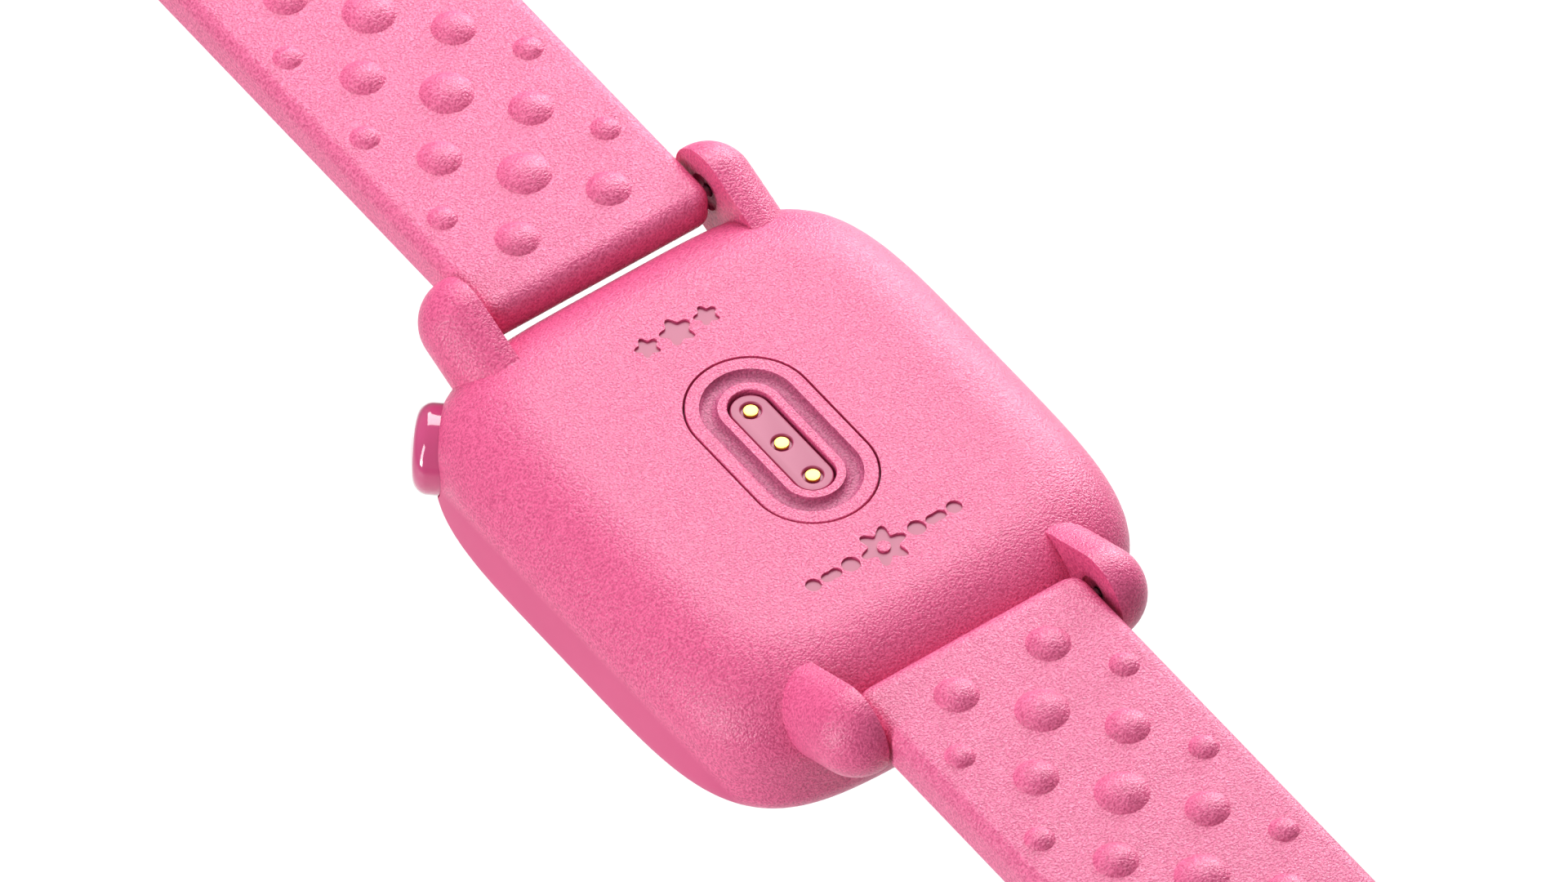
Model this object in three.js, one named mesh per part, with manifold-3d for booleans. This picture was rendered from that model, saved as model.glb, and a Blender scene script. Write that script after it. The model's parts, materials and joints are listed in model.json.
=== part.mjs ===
// A child's smartwatch on a two-piece moulded strap, lying on its glass with the wrist side up.
// Z = 0 is the outer face of the glass and +Z points to the wrist. +Y runs along the strap
// towards the buckle, and X runs across it. All sizes are in millimetres.

import * as THREE from "three";
import { mergeVertices } from "three/addons/utils/BufferGeometryUtils.js";
import Module from "manifold-3d";

const wasm = await Module();
wasm.setup();

// ---------------------------------------------------------------- driving dimensions

// Case. Its outline is a superellipse, inset towards the back by an elliptical shoulder.
const CASE_WIDTH = 39.06;
const CASE_LENGTH = 44.48;
const CASE_THICKNESS = 12.6;
const CORNER_POWER = 4.53;
const SHOULDER_INSET = 6.8;
const SHOULDER_DROP = 5.93;
const FRONT_EDGE_RADIUS = 3.0;
const SIDE_WALL = 1.5;
const BACK_WALL = 1.6;
const SPLIT_HEIGHT = 1.0; // the housing ends and the bezel begins

// Strap and lugs. The lug gap is the strap's width and a side clearance on each side.
const STRAP_WIDTH = 20.0;
const STRAP_THICKNESS = 3.7;
const STRAP_TOP_CORNER = 1.1;
const STRAP_BOTTOM_CORNER = 0.8;
const STRAP_SIDE_CLEARANCE = 0.3;
const PIVOT_OVERHANG = 1.26; // from the case's end to the spring bar's axis
const PIVOT_DROP = 1.9; // from the case's back to the spring bar's axis
const LUG_RADIUS = 3.53;
const LUG_WIDTH = 3.88;
const LUG_RISE_DEG = 22.4;
const LUG_ROOT_LENGTH = 9.0;
const BUCKLE_STRAP_LENGTH = 68.0; // spring bar to buckle bar
const HOLE_STRAP_LENGTH = 99.0; // spring bar to tip
const TIP_LENGTH = 9.0;
const HOLE_RADIUS = 1.3;
const HOLE_PITCH = 6.5;
const HOLE_COUNT = 8;
const FIRST_HOLE = 43.5; // from the spring bar

// Raised domes on the wrist side: pairs, and between them a large one with a small one each side.
const DOME_ROW_PITCH = 4.738;
const DOME_START = 3.0; // from the spring bar
const DOMED_LENGTH = 40.0;
const DOME_SIDE_CLEARANCE = 1.6;
const LARGE_DOME = { diameter: 4.0, height: 0.8 };
const MEDIUM_DOME = { diameter: 3.3, height: 0.7 };
const SMALL_DOME = { diameter: 2.25, height: 0.5 };
const SMALL_DOME_INSET = 2.78; // from the strap's side to the dome's middle
const MEDIUM_DOME_INSET = 5.97;
const DOME_WAIST = 0.62; // where a dome's side bends, as a share of its own radius
const DOME_SINK = 0.4; // of a dome's foot in the strap

// Spring bars and the buckle bar.
const BAR_RADIUS = 0.75;
const BAR_BORE_CLEARANCE = 0.15;
const BAR_PIN_RADIUS = 0.4;
const BAR_PIN_REACH = 1.3; // into each lug
const BAR_PIN_HOUSED = 1.9; // inside the tube
const BAR_END_CLEARANCE = 0.8; // from the tube's end to the strap's side
const BAR_PIN_CLEARANCE = 0.1; // round a pin in its tube
const BAR_PIN_ROOM = 0.3; // past a pin's end, in the tube and in the lug
const LUG_RECESS_RADIUS = 1.5;
const LUG_RECESS_DEPTH = 0.3;

// Charging port: stadium outlines of one length, named by their end radius.
const CONTACT_PITCH = 3.744;
const INSERT_RADIUS = 4.71;
const SEAM = 0.1;
const GROOVE_OUTER = 3.68;
const GROOVE_INNER = 2.375;
const GROOVE_DEPTH = 0.55;
const SLOT_RADIUS = 1.7;
const SLOT_DEPTH = 1.4;
const CARRIER_RADIUS = 1.5;
const CARRIER_RECESS = 0.3;
const CONTACT_WELL_RADIUS = 0.78;
const CONTACT_WELL_DEPTH = 0.28;
const CONTACT_HEAD_RADIUS = 0.547;
const CONTACT_HEAD_HEIGHT = 0.2;
const CONTACT_STEM_RADIUS = 0.32;
const INSERT_FLANGE = 1.2;
const INSERT_BOSS_RADIUS = 3.7;
const INSERT_HEIGHT = 2.3;
const GASKET_THICKNESS = 0.15;
const PORT_PAD_RADIUS = 6.2;
const PORT_PAD_DEPTH = 2.4;
const MAGNET_RADIUS = 1.5;
const MAGNET_THICKNESS = 0.85;
const MAGNET_GAP = 1.2; // from the last contact to a magnet's edge
const CONTACT_STEM_CLEARANCE = 0.08; // in the carrier
const CONTACT_BORE_CLEARANCE = 0.2; // in the insert
const FLEX_SIZE = { halfWidth: 1.6, overhang: 0.9, corner: 0.6, thickness: 0.2, gap: 0.35 };

// Side button on the corner towards the buckle.
const BUTTON_ANGLE_DEG = 138; // of its axis, from +X
const BUTTON_HEIGHT = 5.1; // of its axis above the glass
const BUTTON_RADIUS = 3.37;
const BUTTON_PROUD = 1.45; // of its rim
const BUTTON_CROWN = 0.3;
const BUTTON_EDGE = 1.2;
const BUTTON_SKIRT = 0.9; // of the cap inside its pocket
const BUTTON_TRAVEL = 0.5;
const BUTTON_CLEARANCE = 0.2;
const STEM_RADIUS = 1.1;
const STEM_CLEARANCE = 0.15;
const SEAL_RADIUS = 1.75;
const SEAL_DEPTH = 0.7;
const SEAL_FLOOR_WALL = 0.5; // of the boss behind the seal
const STEM_TAIL = 1.0; // of the stem behind the boss
const SWITCH_GAP = 0.15; // from the pressed stem to the switch
const BUTTON_WALL = 0.8;
const CLIP_RADIUS = 1.7;
const CLIP_THICKNESS = 0.3;
const CLIP_GROOVE_RADIUS = 0.75;
const CLIP_CLEARANCE = 0.1; // round the groove
const CLIP_MOUTH = 0.5; // half of the clip's open angle, in radians
const SWITCH_SIZE = { depth: 1.6, width: 3.4, height: 2.6 };
const WORKS_CLEARANCE = 0.3; // round the clip and the switch

// Front and inside stack, measured up from the glass.
const LENS_THICKNESS = 0.9;
const LENS_INSET = 3.4;
const LENS_PROUD = 0.1;
const LEDGE_HEIGHT = 1.1;
const LEDGE_THICKNESS = 0.5;
const LEDGE_WIDTH = 1.3;
const LIP_TOP = 3.0;
const LIP_THICKNESS = 0.85;
const LIP_CLEARANCE = 0.15; // inside the housing's wall
const LENS_CHAMFER = 0.25;
const DISPLAY_THICKNESS = 1.4;
const DISPLAY_BORDER = 7.0;
const FRAME_BOTTOM = 3.3;
const FRAME_THICKNESS = 0.7;
const FRAME_RIM = 7.5;
const FRAME_CLEARANCE = 0.4; // to the housing's wall
const BOARD_BOTTOM = 5.0;
const BOARD_THICKNESS = 0.8;
const BATTERY_CLEARANCE = 0.2;
const SCREW_INSET = 4.23;
const SCREW_SPACING = 18.0;
const SCREW_RADIUS = 0.8;
const SCREW_HEAD_RADIUS = 1.3;
const SCREW_HEAD_HEIGHT = 0.7;
const SCREW_LENGTH = 3.4;
const SCREW_END_ROOM = 0.3;
const SCREW_CLEARANCE = 0.2; // round it in the inner frame
const SCREW_SOCKET = { depth: 0.35, radius: 0.5 };
const BOSS_RADIUS = 1.7;

// Buckle and keepers.
const BUCKLE_ARM = 1.8;
const BUCKLE_THICKNESS = 2.4;
const BUCKLE_REACH = 11.5; // from its bar to its front edge
const BUCKLE_FRONT_BAR = 2.2;
const BUCKLE_CORNER = 3.2;
const BUCKLE_INNER_CORNER = 1.2;
const TONGUE_WIDTH = 2.2;
const TONGUE_LOOP_RADIUS = 1.5;
const TONGUE_THICKNESS = 1.0;
const TONGUE_OVERHANG = 0.6;
const TONGUE_REST_GAP = 0.1; // under the buckle's front bar
const TONGUE_NOTCH_CLEARANCE = 0.6;
const TONGUE_NOTCH_DEPTH = 3.2;
const KEEPER_WIDTH = 5.0;
const KEEPER_WALL = 1.3;
const KEEPER_CLEARANCE = 0.3;
const FIXED_KEEPER_CLEARANCE = 0.1;
const KEEPER_INNER_CORNER = 0.7;
const KEEPER_SPACE = 4.3; // room under the strap for the end of the other strap
const FIXED_KEEPER_FROM_BAR = 7.0;
const SLIDING_KEEPER_FROM_BAR = 15.0;

const GAP = 0.05; // between flat faces that touch

// ---------------------------------------------------------------- places worked out from them

const BACK = CASE_THICKNESS;
const PIVOT_Y = CASE_LENGTH / 2 + PIVOT_OVERHANG;
const PIVOT_Z = BACK - PIVOT_DROP;
const LUG_FACE = STRAP_WIDTH / 2 + STRAP_SIDE_CLEARANCE;
const BAR_BORE = BAR_RADIUS + BAR_BORE_CLEARANCE;
const BAR_HALF = STRAP_WIDTH / 2 - BAR_END_CLEARANCE;
const BUCKLE_BAR_Y = PIVOT_Y + BUCKLE_STRAP_LENGTH;
const BUCKLE_HALF = STRAP_WIDTH / 2 + STRAP_SIDE_CLEARANCE + BUCKLE_ARM;
const STRAP_TOP = PIVOT_Z + STRAP_THICKNESS / 2;
const STRAP_BOTTOM = PIVOT_Z - STRAP_THICKNESS / 2;
const DOME_X = STRAP_WIDTH / 2 - SMALL_DOME_INSET;
const PAIR_X = STRAP_WIDTH / 2 - MEDIUM_DOME_INSET;
const SCREW_X = CASE_WIDTH / 2 - SCREW_INSET;
const SCREW_Y = SCREW_SPACING / 2;
const BATTERY_BOTTOM = BOARD_BOTTOM + BOARD_THICKNESS + BATTERY_CLEARANCE;
const PORT_DEPTH = PORT_PAD_DEPTH + GAP + MAGNET_THICKNESS;
const BATTERY_TOP = BACK - PORT_DEPTH - BATTERY_CLEARANCE / 2;

const OUTLINE_POINTS = 40;
const SHOULDER_STEPS = 7;
const ROUND = 20; // sides of a bore, a bar or a button
const SMALL_ROUND = 12;
const DOME_SIDES = 8;

// ---------------------------------------------------------------- materials

function finish(color, roughness, metalness = 0) {
  return new THREE.MeshStandardMaterial({ color, roughness, metalness });
}

const pinkCase = finish(0xff8fb8, 0.6);
const pinkStrap = finish(0xf58ab4, 0.7);
const raspberry = finish(0xc23a78, 0.2);
const mauve = finish(0xdb8fae, 0.35);
const darkRubber = finish(0x2b2b2e, 0.8);
const gold = finish(0xe8c86a, 0.25, 1);
const steel = finish(0xb9bcc0, 0.3, 1);
const nickel = finish(0xa9a9a6, 0.35, 1);
const glass = finish(0x0b0b0e, 0.05);
const panel = finish(0x15151a, 0.4);
const boardGreen = finish(0x1f6b3a, 0.5);
const foil = finish(0xc9ccd0, 0.4, 1);
const amber = finish(0xb8721f, 0.4);
const magnesium = finish(0x8d9095, 0.5, 1);

// ---------------------------------------------------------------- solids and outlines

// Only positions are kept, so that neighbouring faces share their vertices.
function solid(geometry) {
  const bare = geometry.clone();
  bare.deleteAttribute("normal");
  bare.deleteAttribute("uv");
  const merged = mergeVertices(bare, 1e-4);
  return new wasm.Manifold(
    new wasm.Mesh({
      numProp: 3,
      vertProperties: merged.attributes.position.array,
      triVerts: new Uint32Array(merged.index.array),
    }),
  );
}

function geometryOf(body) {
  const mesh = body.getMesh();
  const geometry = new THREE.BufferGeometry();
  geometry.setAttribute("position", new THREE.BufferAttribute(mesh.vertProperties, 3));
  geometry.setIndex(new THREE.BufferAttribute(mesh.triVerts, 1));
  geometry.computeVertexNormals();
  return geometry;
}

// A superellipse, anticlockwise from +X.
function caseOutline(inset) {
  const halfX = CASE_WIDTH / 2 - inset;
  const halfY = CASE_LENGTH / 2 - inset;
  const bend = (v) => Math.sign(v) * Math.abs(v) ** (2 / CORNER_POWER);
  return Array.from({ length: OUTLINE_POINTS }, (_, i) => {
    const turn = (2 * Math.PI * (i + 0.5)) / OUTLINE_POINTS;
    return [halfX * bend(Math.cos(turn)), halfY * bend(Math.sin(turn))];
  });
}

// Two half circles, one contact pitch each side of the middle, joined by straights along Y.
function stadiumOutline(radius) {
  return Array.from({ length: ROUND + 2 }, (_, i) => {
    const upper = i <= ROUND / 2;
    const turn = (2 * Math.PI * (upper ? i : i - 1)) / ROUND;
    const middle = upper ? CONTACT_PITCH : -CONTACT_PITCH;
    return [radius * Math.cos(turn), middle + radius * Math.sin(turn)];
  });
}

// Quads between one ring of points and the next; the first index runs along the section.
function bandIndex(rows, count, closed) {
  const index = [];
  for (let r = 0; r < (closed ? rows : rows - 1); r++) {
    for (let i = 0; i < count; i++) {
      const a = r * count + i;
      const b = r * count + ((i + 1) % count);
      const up = (((r + 1) % rows) - r) * count;
      index.push(a, b, b + up, a, b + up, a + up);
    }
  }
  return index;
}

// A closed body from levels [offset, z], lowest first, with flat ends.
function loft(levels, outline) {
  const rings = levels.map(([offset, z]) => outline(offset).map(([x, y]) => [x, y, z]));
  const count = rings[0].length;
  const top = (rings.length - 1) * count;
  const index = bandIndex(rings.length, count, false);
  const centres = [rings[0], rings[rings.length - 1]].map((ring) => [0, 0, ring[0][2]]);
  const first = rings.length * count;
  for (let i = 0; i < count; i++) {
    const next = (i + 1) % count;
    index.push(first, next, i, first + 1, top + i, top + next);
  }
  return fromPoints([...rings.flat(), ...centres], index);
}

// A closed ring whose section is a loop of [offset, z], up its outside and down its inside.
function ringLoft(section, outline) {
  const rings = section.map(([offset, z]) => outline(offset).map(([x, y]) => [x, y, z]));
  return fromPoints(rings.flat(), bandIndex(rings.length, rings[0].length, true));
}

function fromPoints(points, index) {
  const geometry = new THREE.BufferGeometry();
  geometry.setAttribute("position", new THREE.Float32BufferAttribute(points.flat(), 3));
  geometry.setIndex(index);
  return geometry;
}

function extrude(shape, low, high, segments = 4) {
  const options = { depth: high - low, bevelEnabled: false, curveSegments: segments };
  return new THREE.ExtrudeGeometry(shape, options).translate(0, 0, low);
}

// An outline drawn in Y and Z, extruded along X.
function extrudeX(shape, low, high, segments = 4) {
  const turn = new THREE.Matrix4().makeBasis(
    new THREE.Vector3(0, 1, 0),
    new THREE.Vector3(0, 0, 1),
    new THREE.Vector3(1, 0, 0),
  );
  return extrude(shape, low, high, segments).applyMatrix4(turn);
}

// An outline drawn in X and Z, extruded along Y.
function extrudeY(shape, low, high, segments = 4) {
  return extrude(shape, -high, -low, segments).rotateX(Math.PI / 2);
}

function roundedRectangle(halfX, halfY, radius, upperRadius = radius) {
  const shape = new THREE.Shape();
  const quarter = Math.PI / 2;
  shape.absarc(halfX - upperRadius, halfY - upperRadius, upperRadius, 0, quarter);
  shape.absarc(upperRadius - halfX, halfY - upperRadius, upperRadius, quarter, 2 * quarter);
  shape.absarc(radius - halfX, radius - halfY, radius, 2 * quarter, 3 * quarter);
  shape.absarc(halfX - radius, radius - halfY, radius, 3 * quarter, 4 * quarter);
  return shape;
}

function discZ(radius, low, high, x = 0, y = 0, sides = ROUND) {
  return new THREE.CylinderGeometry(radius, radius, high - low, sides)
    .rotateX(Math.PI / 2)
    .translate(x, y, (low + high) / 2);
}

function discX(radius, low, high, y, z, sides = ROUND) {
  return new THREE.CylinderGeometry(radius, radius, high - low, sides)
    .rotateZ(Math.PI / 2)
    .translate((low + high) / 2, y, z);
}

// A turned body from a profile of [radius, height], lowest first; its axis is Z.
function turned(profile, sides = ROUND) {
  const points = profile.map(([radius, height]) => new THREE.Vector2(radius, height));
  return new THREE.LatheGeometry(points, sides).rotateX(Math.PI / 2);
}

function block(xs, ys, zs) {
  const size = [xs, ys, zs].map(([low, high]) => high - low);
  const middle = [xs, ys, zs].map(([low, high]) => (low + high) / 2);
  return new THREE.BoxGeometry(...size).translate(...middle);
}

const watch = new THREE.Group();
const groups = {};
for (const name of ["case", "button", "buckleStrap", "holeStrap", "buckle", "tongue", "keeper"]) {
  groups[name] = new THREE.Group();
  watch.add(groups[name]);
}

function addPiece(group, name, geometry, material) {
  const piece = new THREE.Mesh(geometry, material);
  piece.name = name;
  groups[group].add(piece);
  return piece;
}

// ---------------------------------------------------------------- side button's own frame

const BUTTON_TURN = THREE.MathUtils.degToRad(BUTTON_ANGLE_DEG);
const BUTTON_OUT = new THREE.Vector3(Math.cos(BUTTON_TURN), Math.sin(BUTTON_TURN), 0);

// Where the case's wall has the button's direction as its outward normal.
function wallPointFacing(direction) {
  const reach = CORNER_POWER / (CORNER_POWER - 1);
  const along = [CASE_WIDTH / 2, CASE_LENGTH / 2].map((half, i) =>
    Math.abs(direction.getComponent(i) * half),
  );
  const total = (along[0] ** reach + along[1] ** reach) ** (1 / CORNER_POWER);
  const place = [CASE_WIDTH / 2, CASE_LENGTH / 2].map(
    (half, i) =>
      (Math.sign(direction.getComponent(i)) * half * along[i] ** (reach - 1)) / total,
  );
  return new THREE.Vector3(place[0], place[1], BUTTON_HEIGHT);
}

const BUTTON_PLACE = wallPointFacing(BUTTON_OUT);

// Turns a body drawn about Z, with Z = 0 on the wall and +Z outwards, to the button's axis.
function atButton(geometry) {
  const across = new THREE.Vector3().crossVectors(new THREE.Vector3(0, 0, 1), BUTTON_OUT);
  const frame = new THREE.Matrix4().makeBasis(
    across,
    new THREE.Vector3().crossVectors(BUTTON_OUT, across),
    BUTTON_OUT,
  );
  frame.setPosition(BUTTON_PLACE);
  return geometry.applyMatrix4(frame);
}

const POCKET_RADIUS = BUTTON_RADIUS + BUTTON_CLEARANCE;
const POCKET_FLOOR = -(BUTTON_SKIRT + BUTTON_TRAVEL + BUTTON_CLEARANCE);
const SEAL_FLOOR = POCKET_FLOOR - SEAL_DEPTH;
const BUTTON_BOSS_END = SEAL_FLOOR - SEAL_FLOOR_WALL;
const BUTTON_BOSS_RADIUS = POCKET_RADIUS + BUTTON_WALL;
const STEM_END = BUTTON_BOSS_END - STEM_TAIL;
const SWITCH_FACE = STEM_END - BUTTON_TRAVEL - SWITCH_GAP;
const SWITCH_BACK = SWITCH_FACE - SWITCH_SIZE.depth;

// The switch's own block, or with a margin the room that it needs.
function switchBlock(margin, extraHeight = 0) {
  const halfWidth = SWITCH_SIZE.width / 2 + margin;
  const halfHeight = SWITCH_SIZE.height / 2 + margin + extraHeight;
  return atButton(block(
    [-halfWidth, halfWidth], [-halfHeight, halfHeight], [SWITCH_BACK - margin, SWITCH_FACE + margin],
  ));
}

// ---------------------------------------------------------------- case

function frontEdge(height) {
  const lift = FRONT_EDGE_RADIUS - height;
  return FRONT_EDGE_RADIUS - Math.sqrt(FRONT_EDGE_RADIUS ** 2 - lift ** 2);
}

function shoulder(step, steps) {
  const turn = ((1 - step / steps) * Math.PI) / 2;
  return [SHOULDER_INSET * (1 - Math.sin(turn)), BACK - SHOULDER_DROP * (1 - Math.cos(turn))];
}

function caseBody() {
  const levels = [SPLIT_HEIGHT, (SPLIT_HEIGHT + FRONT_EDGE_RADIUS) / 2, FRONT_EDGE_RADIUS].map(
    (height) => [frontEdge(height), height],
  );
  for (let i = 0; i <= SHOULDER_STEPS; i++) levels.push(shoulder(i, SHOULDER_STEPS));
  return solid(loft(levels, caseOutline));
}

function caseCavity() {
  const steps = SHOULDER_STEPS - 3;
  const levels = [[SIDE_WALL, 0]];
  for (let i = 0; i <= steps; i++) {
    const [inset, height] = shoulder(i, steps);
    levels.push([inset + SIDE_WALL, height - BACK_WALL]);
  }
  return solid(loft(levels, caseOutline));
}

// One lug: a rounded horn that rises outwards from inside the case, flat towards the strap.
function lug(sideX, sideY) {
  const steps = 5;
  const profile = [[0, -LUG_ROOT_LENGTH], [LUG_RADIUS, -LUG_ROOT_LENGTH]];
  for (let i = 0; i <= steps; i++) {
    const turn = (i / steps) * (Math.PI / 2);
    profile.push([i === steps ? 0 : LUG_RADIUS * Math.cos(turn), LUG_RADIUS * Math.sin(turn)]);
  }
  const horn = turned(profile, ROUND)
    .scale(LUG_WIDTH / LUG_RADIUS, 1, 1)
    .rotateX(-Math.PI / 2 + THREE.MathUtils.degToRad(LUG_RISE_DEG));
  if (sideY < 0) horn.rotateZ(Math.PI);
  horn.translate(sideX * LUG_FACE, sideY * PIVOT_Y, PIVOT_Z);
  const strapSide = sideX > 0 ? [0, LUG_FACE] : [-LUG_FACE, 0];
  const away = CASE_LENGTH + LUG_ROOT_LENGTH;
  return solid(horn).subtract(solid(block(strapSide, [-away, away], [-BACK, 3 * BACK])));
}

function housing() {
  const outer = caseBody();
  let body = outer;
  for (const sideX of [-1, 1]) {
    for (const sideY of [-1, 1]) body = body.add(lug(sideX, sideY));
  }
  body = body.subtract(caseCavity());

  const bosses = [-1, 1].flatMap((sideX) =>
    [-1, 1].map((sideY) =>
      discZ(BOSS_RADIUS, FRAME_BOTTOM + FRAME_THICKNESS + GAP, BACK - BACK_WALL, sideX * SCREW_X,
        sideY * SCREW_Y, SMALL_ROUND),
    ),
  );
  const buttonBoss = turned(
    [[0, BUTTON_BOSS_END], [BUTTON_BOSS_RADIUS, BUTTON_BOSS_END], [BUTTON_BOSS_RADIUS, 0], [0, 0]],
  );
  const portPad = loft(
    [[PORT_PAD_RADIUS, BACK - PORT_PAD_DEPTH], [PORT_PAD_RADIUS, BACK - BACK_WALL / 2]],
    stadiumOutline,
  );
  for (const added of [...bosses, atButton(buttonBoss), portPad]) {
    body = body.add(solid(added).intersect(outer));
  }

  const port = loft(
    [[INSERT_RADIUS + SEAM, BACK - INSERT_FLANGE - GASKET_THICKNESS - 2 * GAP],
      [INSERT_RADIUS + SEAM, BACK + 1]],
    stadiumOutline,
  );
  const portBore = loft(
    [[INSERT_BOSS_RADIUS + SEAM, 0], [INSERT_BOSS_RADIUS + SEAM, BACK]],
    stadiumOutline,
  );
  const pocket = turned([
    [0, BUTTON_BOSS_END - 1],
    [STEM_RADIUS + STEM_CLEARANCE, BUTTON_BOSS_END - 1],
    [STEM_RADIUS + STEM_CLEARANCE, SEAL_FLOOR],
    [SEAL_RADIUS, SEAL_FLOOR],
    [SEAL_RADIUS, POCKET_FLOOR],
    [POCKET_RADIUS, POCKET_FLOOR],
    [POCKET_RADIUS, BUTTON_PROUD],
    [0, BUTTON_PROUD],
  ]);
  const clipRoom = turned([
    [0, SWITCH_FACE],
    [CLIP_RADIUS + WORKS_CLEARANCE, SWITCH_FACE],
    [CLIP_RADIUS + WORKS_CLEARANCE, BUTTON_BOSS_END],
    [0, BUTTON_BOSS_END],
  ]);
  const cuts = [port, portBore, atButton(pocket), atButton(clipRoom)];
  cuts.push(switchBlock(WORKS_CLEARANCE));
  for (const sideX of [-1, 1]) {
    for (const sideY of [-1, 1]) {
      const threadTop = FRAME_BOTTOM + FRAME_THICKNESS + SCREW_LENGTH + SCREW_END_ROOM;
      cuts.push(discZ(SCREW_RADIUS + SEAM, 0, threadTop, sideX * SCREW_X, sideY * SCREW_Y,
        SMALL_ROUND));
      const depths = [
        [LUG_RECESS_RADIUS, LUG_RECESS_DEPTH],
        [BAR_PIN_RADIUS + BAR_BORE_CLEARANCE, BAR_PIN_REACH + BAR_PIN_ROOM],
      ];
      for (const [radius, depth] of depths) {
        const ends = [sideX * (LUG_FACE - 1), sideX * (LUG_FACE + depth)].sort((a, b) => a - b);
        cuts.push(discX(radius, ...ends, sideY * PIVOT_Y, PIVOT_Z, SMALL_ROUND));
      }
    }
  }
  for (const cut of cuts) body = body.subtract(solid(cut));
  return geometryOf(body);
}

// Room that the button's boss, stem and switch need in the pieces around them.
function buttonRoom(lowest) {
  const reach = SWITCH_BACK - WORKS_CLEARANCE;
  const radius = BUTTON_BOSS_RADIUS + WORKS_CLEARANCE;
  const room = solid(atButton(turned([[0, reach], [radius, reach], [radius, 2], [0, 2]])));
  const span = CASE_LENGTH;
  return room.subtract(solid(block([-span, span], [-span, span], [-BACK, lowest])));
}

function bezel() {
  const inner = LENS_INSET - SEAM;
  const lip = SIDE_WALL + LIP_CLEARANCE;
  const section = [[LENS_INSET - SEAM, LENS_PROUD]];
  const steps = 4;
  for (let i = 0; i <= steps; i++) {
    const height = LENS_PROUD + ((SPLIT_HEIGHT - GAP - LENS_PROUD) * i) / steps;
    section.push([frontEdge(height), height]);
  }
  section.push(
    [lip, SPLIT_HEIGHT - GAP],
    [lip, LIP_TOP],
    [lip + LIP_THICKNESS, LIP_TOP],
    [lip + LIP_THICKNESS, LEDGE_HEIGHT + LEDGE_THICKNESS],
    [inner + LEDGE_WIDTH, LEDGE_HEIGHT + LEDGE_THICKNESS],
    [inner + LEDGE_WIDTH, LEDGE_HEIGHT],
    [inner, LEDGE_HEIGHT],
  );
  return geometryOf(
    solid(ringLoft(section, caseOutline)).subtract(buttonRoom(SPLIT_HEIGHT - GAP)),
  );
}

function frontPieces() {
  const chamfer = LENS_CHAMFER;
  addPiece("case", "front_bezel", bezel(), pinkCase);
  addPiece("case", "cover_lens", loft(
    [[LENS_INSET + chamfer, 0], [LENS_INSET, chamfer], [LENS_INSET, LENS_THICKNESS]],
    caseOutline,
  ), glass);
  const bond = [LENS_THICKNESS + 0.02, LEDGE_HEIGHT - 0.02];
  addPiece("case", "lens_gasket", ringLoft(
    [[LENS_INSET + 0.1, bond[0]], [LENS_INSET + 0.1, bond[1]],
      [LENS_INSET + LEDGE_WIDTH - 0.2, bond[1]], [LENS_INSET + LEDGE_WIDTH - 0.2, bond[0]]],
    caseOutline,
  ), darkRubber);
  addPiece("case", "display_panel", extrude(
    roundedRectangle(CASE_WIDTH / 2 - DISPLAY_BORDER, CASE_LENGTH / 2 - DISPLAY_BORDER, 1.5),
    LENS_THICKNESS + GAP, LENS_THICKNESS + GAP + DISPLAY_THICKNESS,
  ), panel);
}

function innerFrame() {
  const top = FRAME_BOTTOM + FRAME_THICKNESS;
  let plate = solid(loft([[SIDE_WALL + FRAME_CLEARANCE, FRAME_BOTTOM], [SIDE_WALL + FRAME_CLEARANCE, top]], caseOutline));
  const window = roundedRectangle(
    CASE_WIDTH / 2 - FRAME_RIM - SIDE_WALL, CASE_LENGTH / 2 - FRAME_RIM - SIDE_WALL, 2,
  );
  plate = plate.subtract(solid(extrude(window, FRAME_BOTTOM - 1, top + 1)));
  for (const sideX of [-1, 1]) {
    for (const sideY of [-1, 1]) {
      plate = plate.subtract(solid(discZ(SCREW_RADIUS + SCREW_CLEARANCE, FRAME_BOTTOM - 1, top + 1,
        sideX * SCREW_X, sideY * SCREW_Y, SMALL_ROUND)));
    }
  }
  return geometryOf(plate.subtract(buttonRoom(SPLIT_HEIGHT)));
}

function screw(x, y) {
  const seat = FRAME_BOTTOM - GAP;
  const head = seat - SCREW_HEAD_HEIGHT;
  const recess = SCREW_SOCKET.depth;
  return turned([
    [0, head + recess],
    [SCREW_SOCKET.radius, head + recess],
    [SCREW_SOCKET.radius, head],
    [SCREW_HEAD_RADIUS - 0.2, head],
    [SCREW_HEAD_RADIUS, head + 0.2],
    [SCREW_HEAD_RADIUS, seat],
    [SCREW_RADIUS, seat],
    [SCREW_RADIUS, seat + SCREW_LENGTH],
    [0, seat + SCREW_LENGTH + SCREW_END_ROOM],
  ], SMALL_ROUND).translate(x, y, 0);
}

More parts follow.
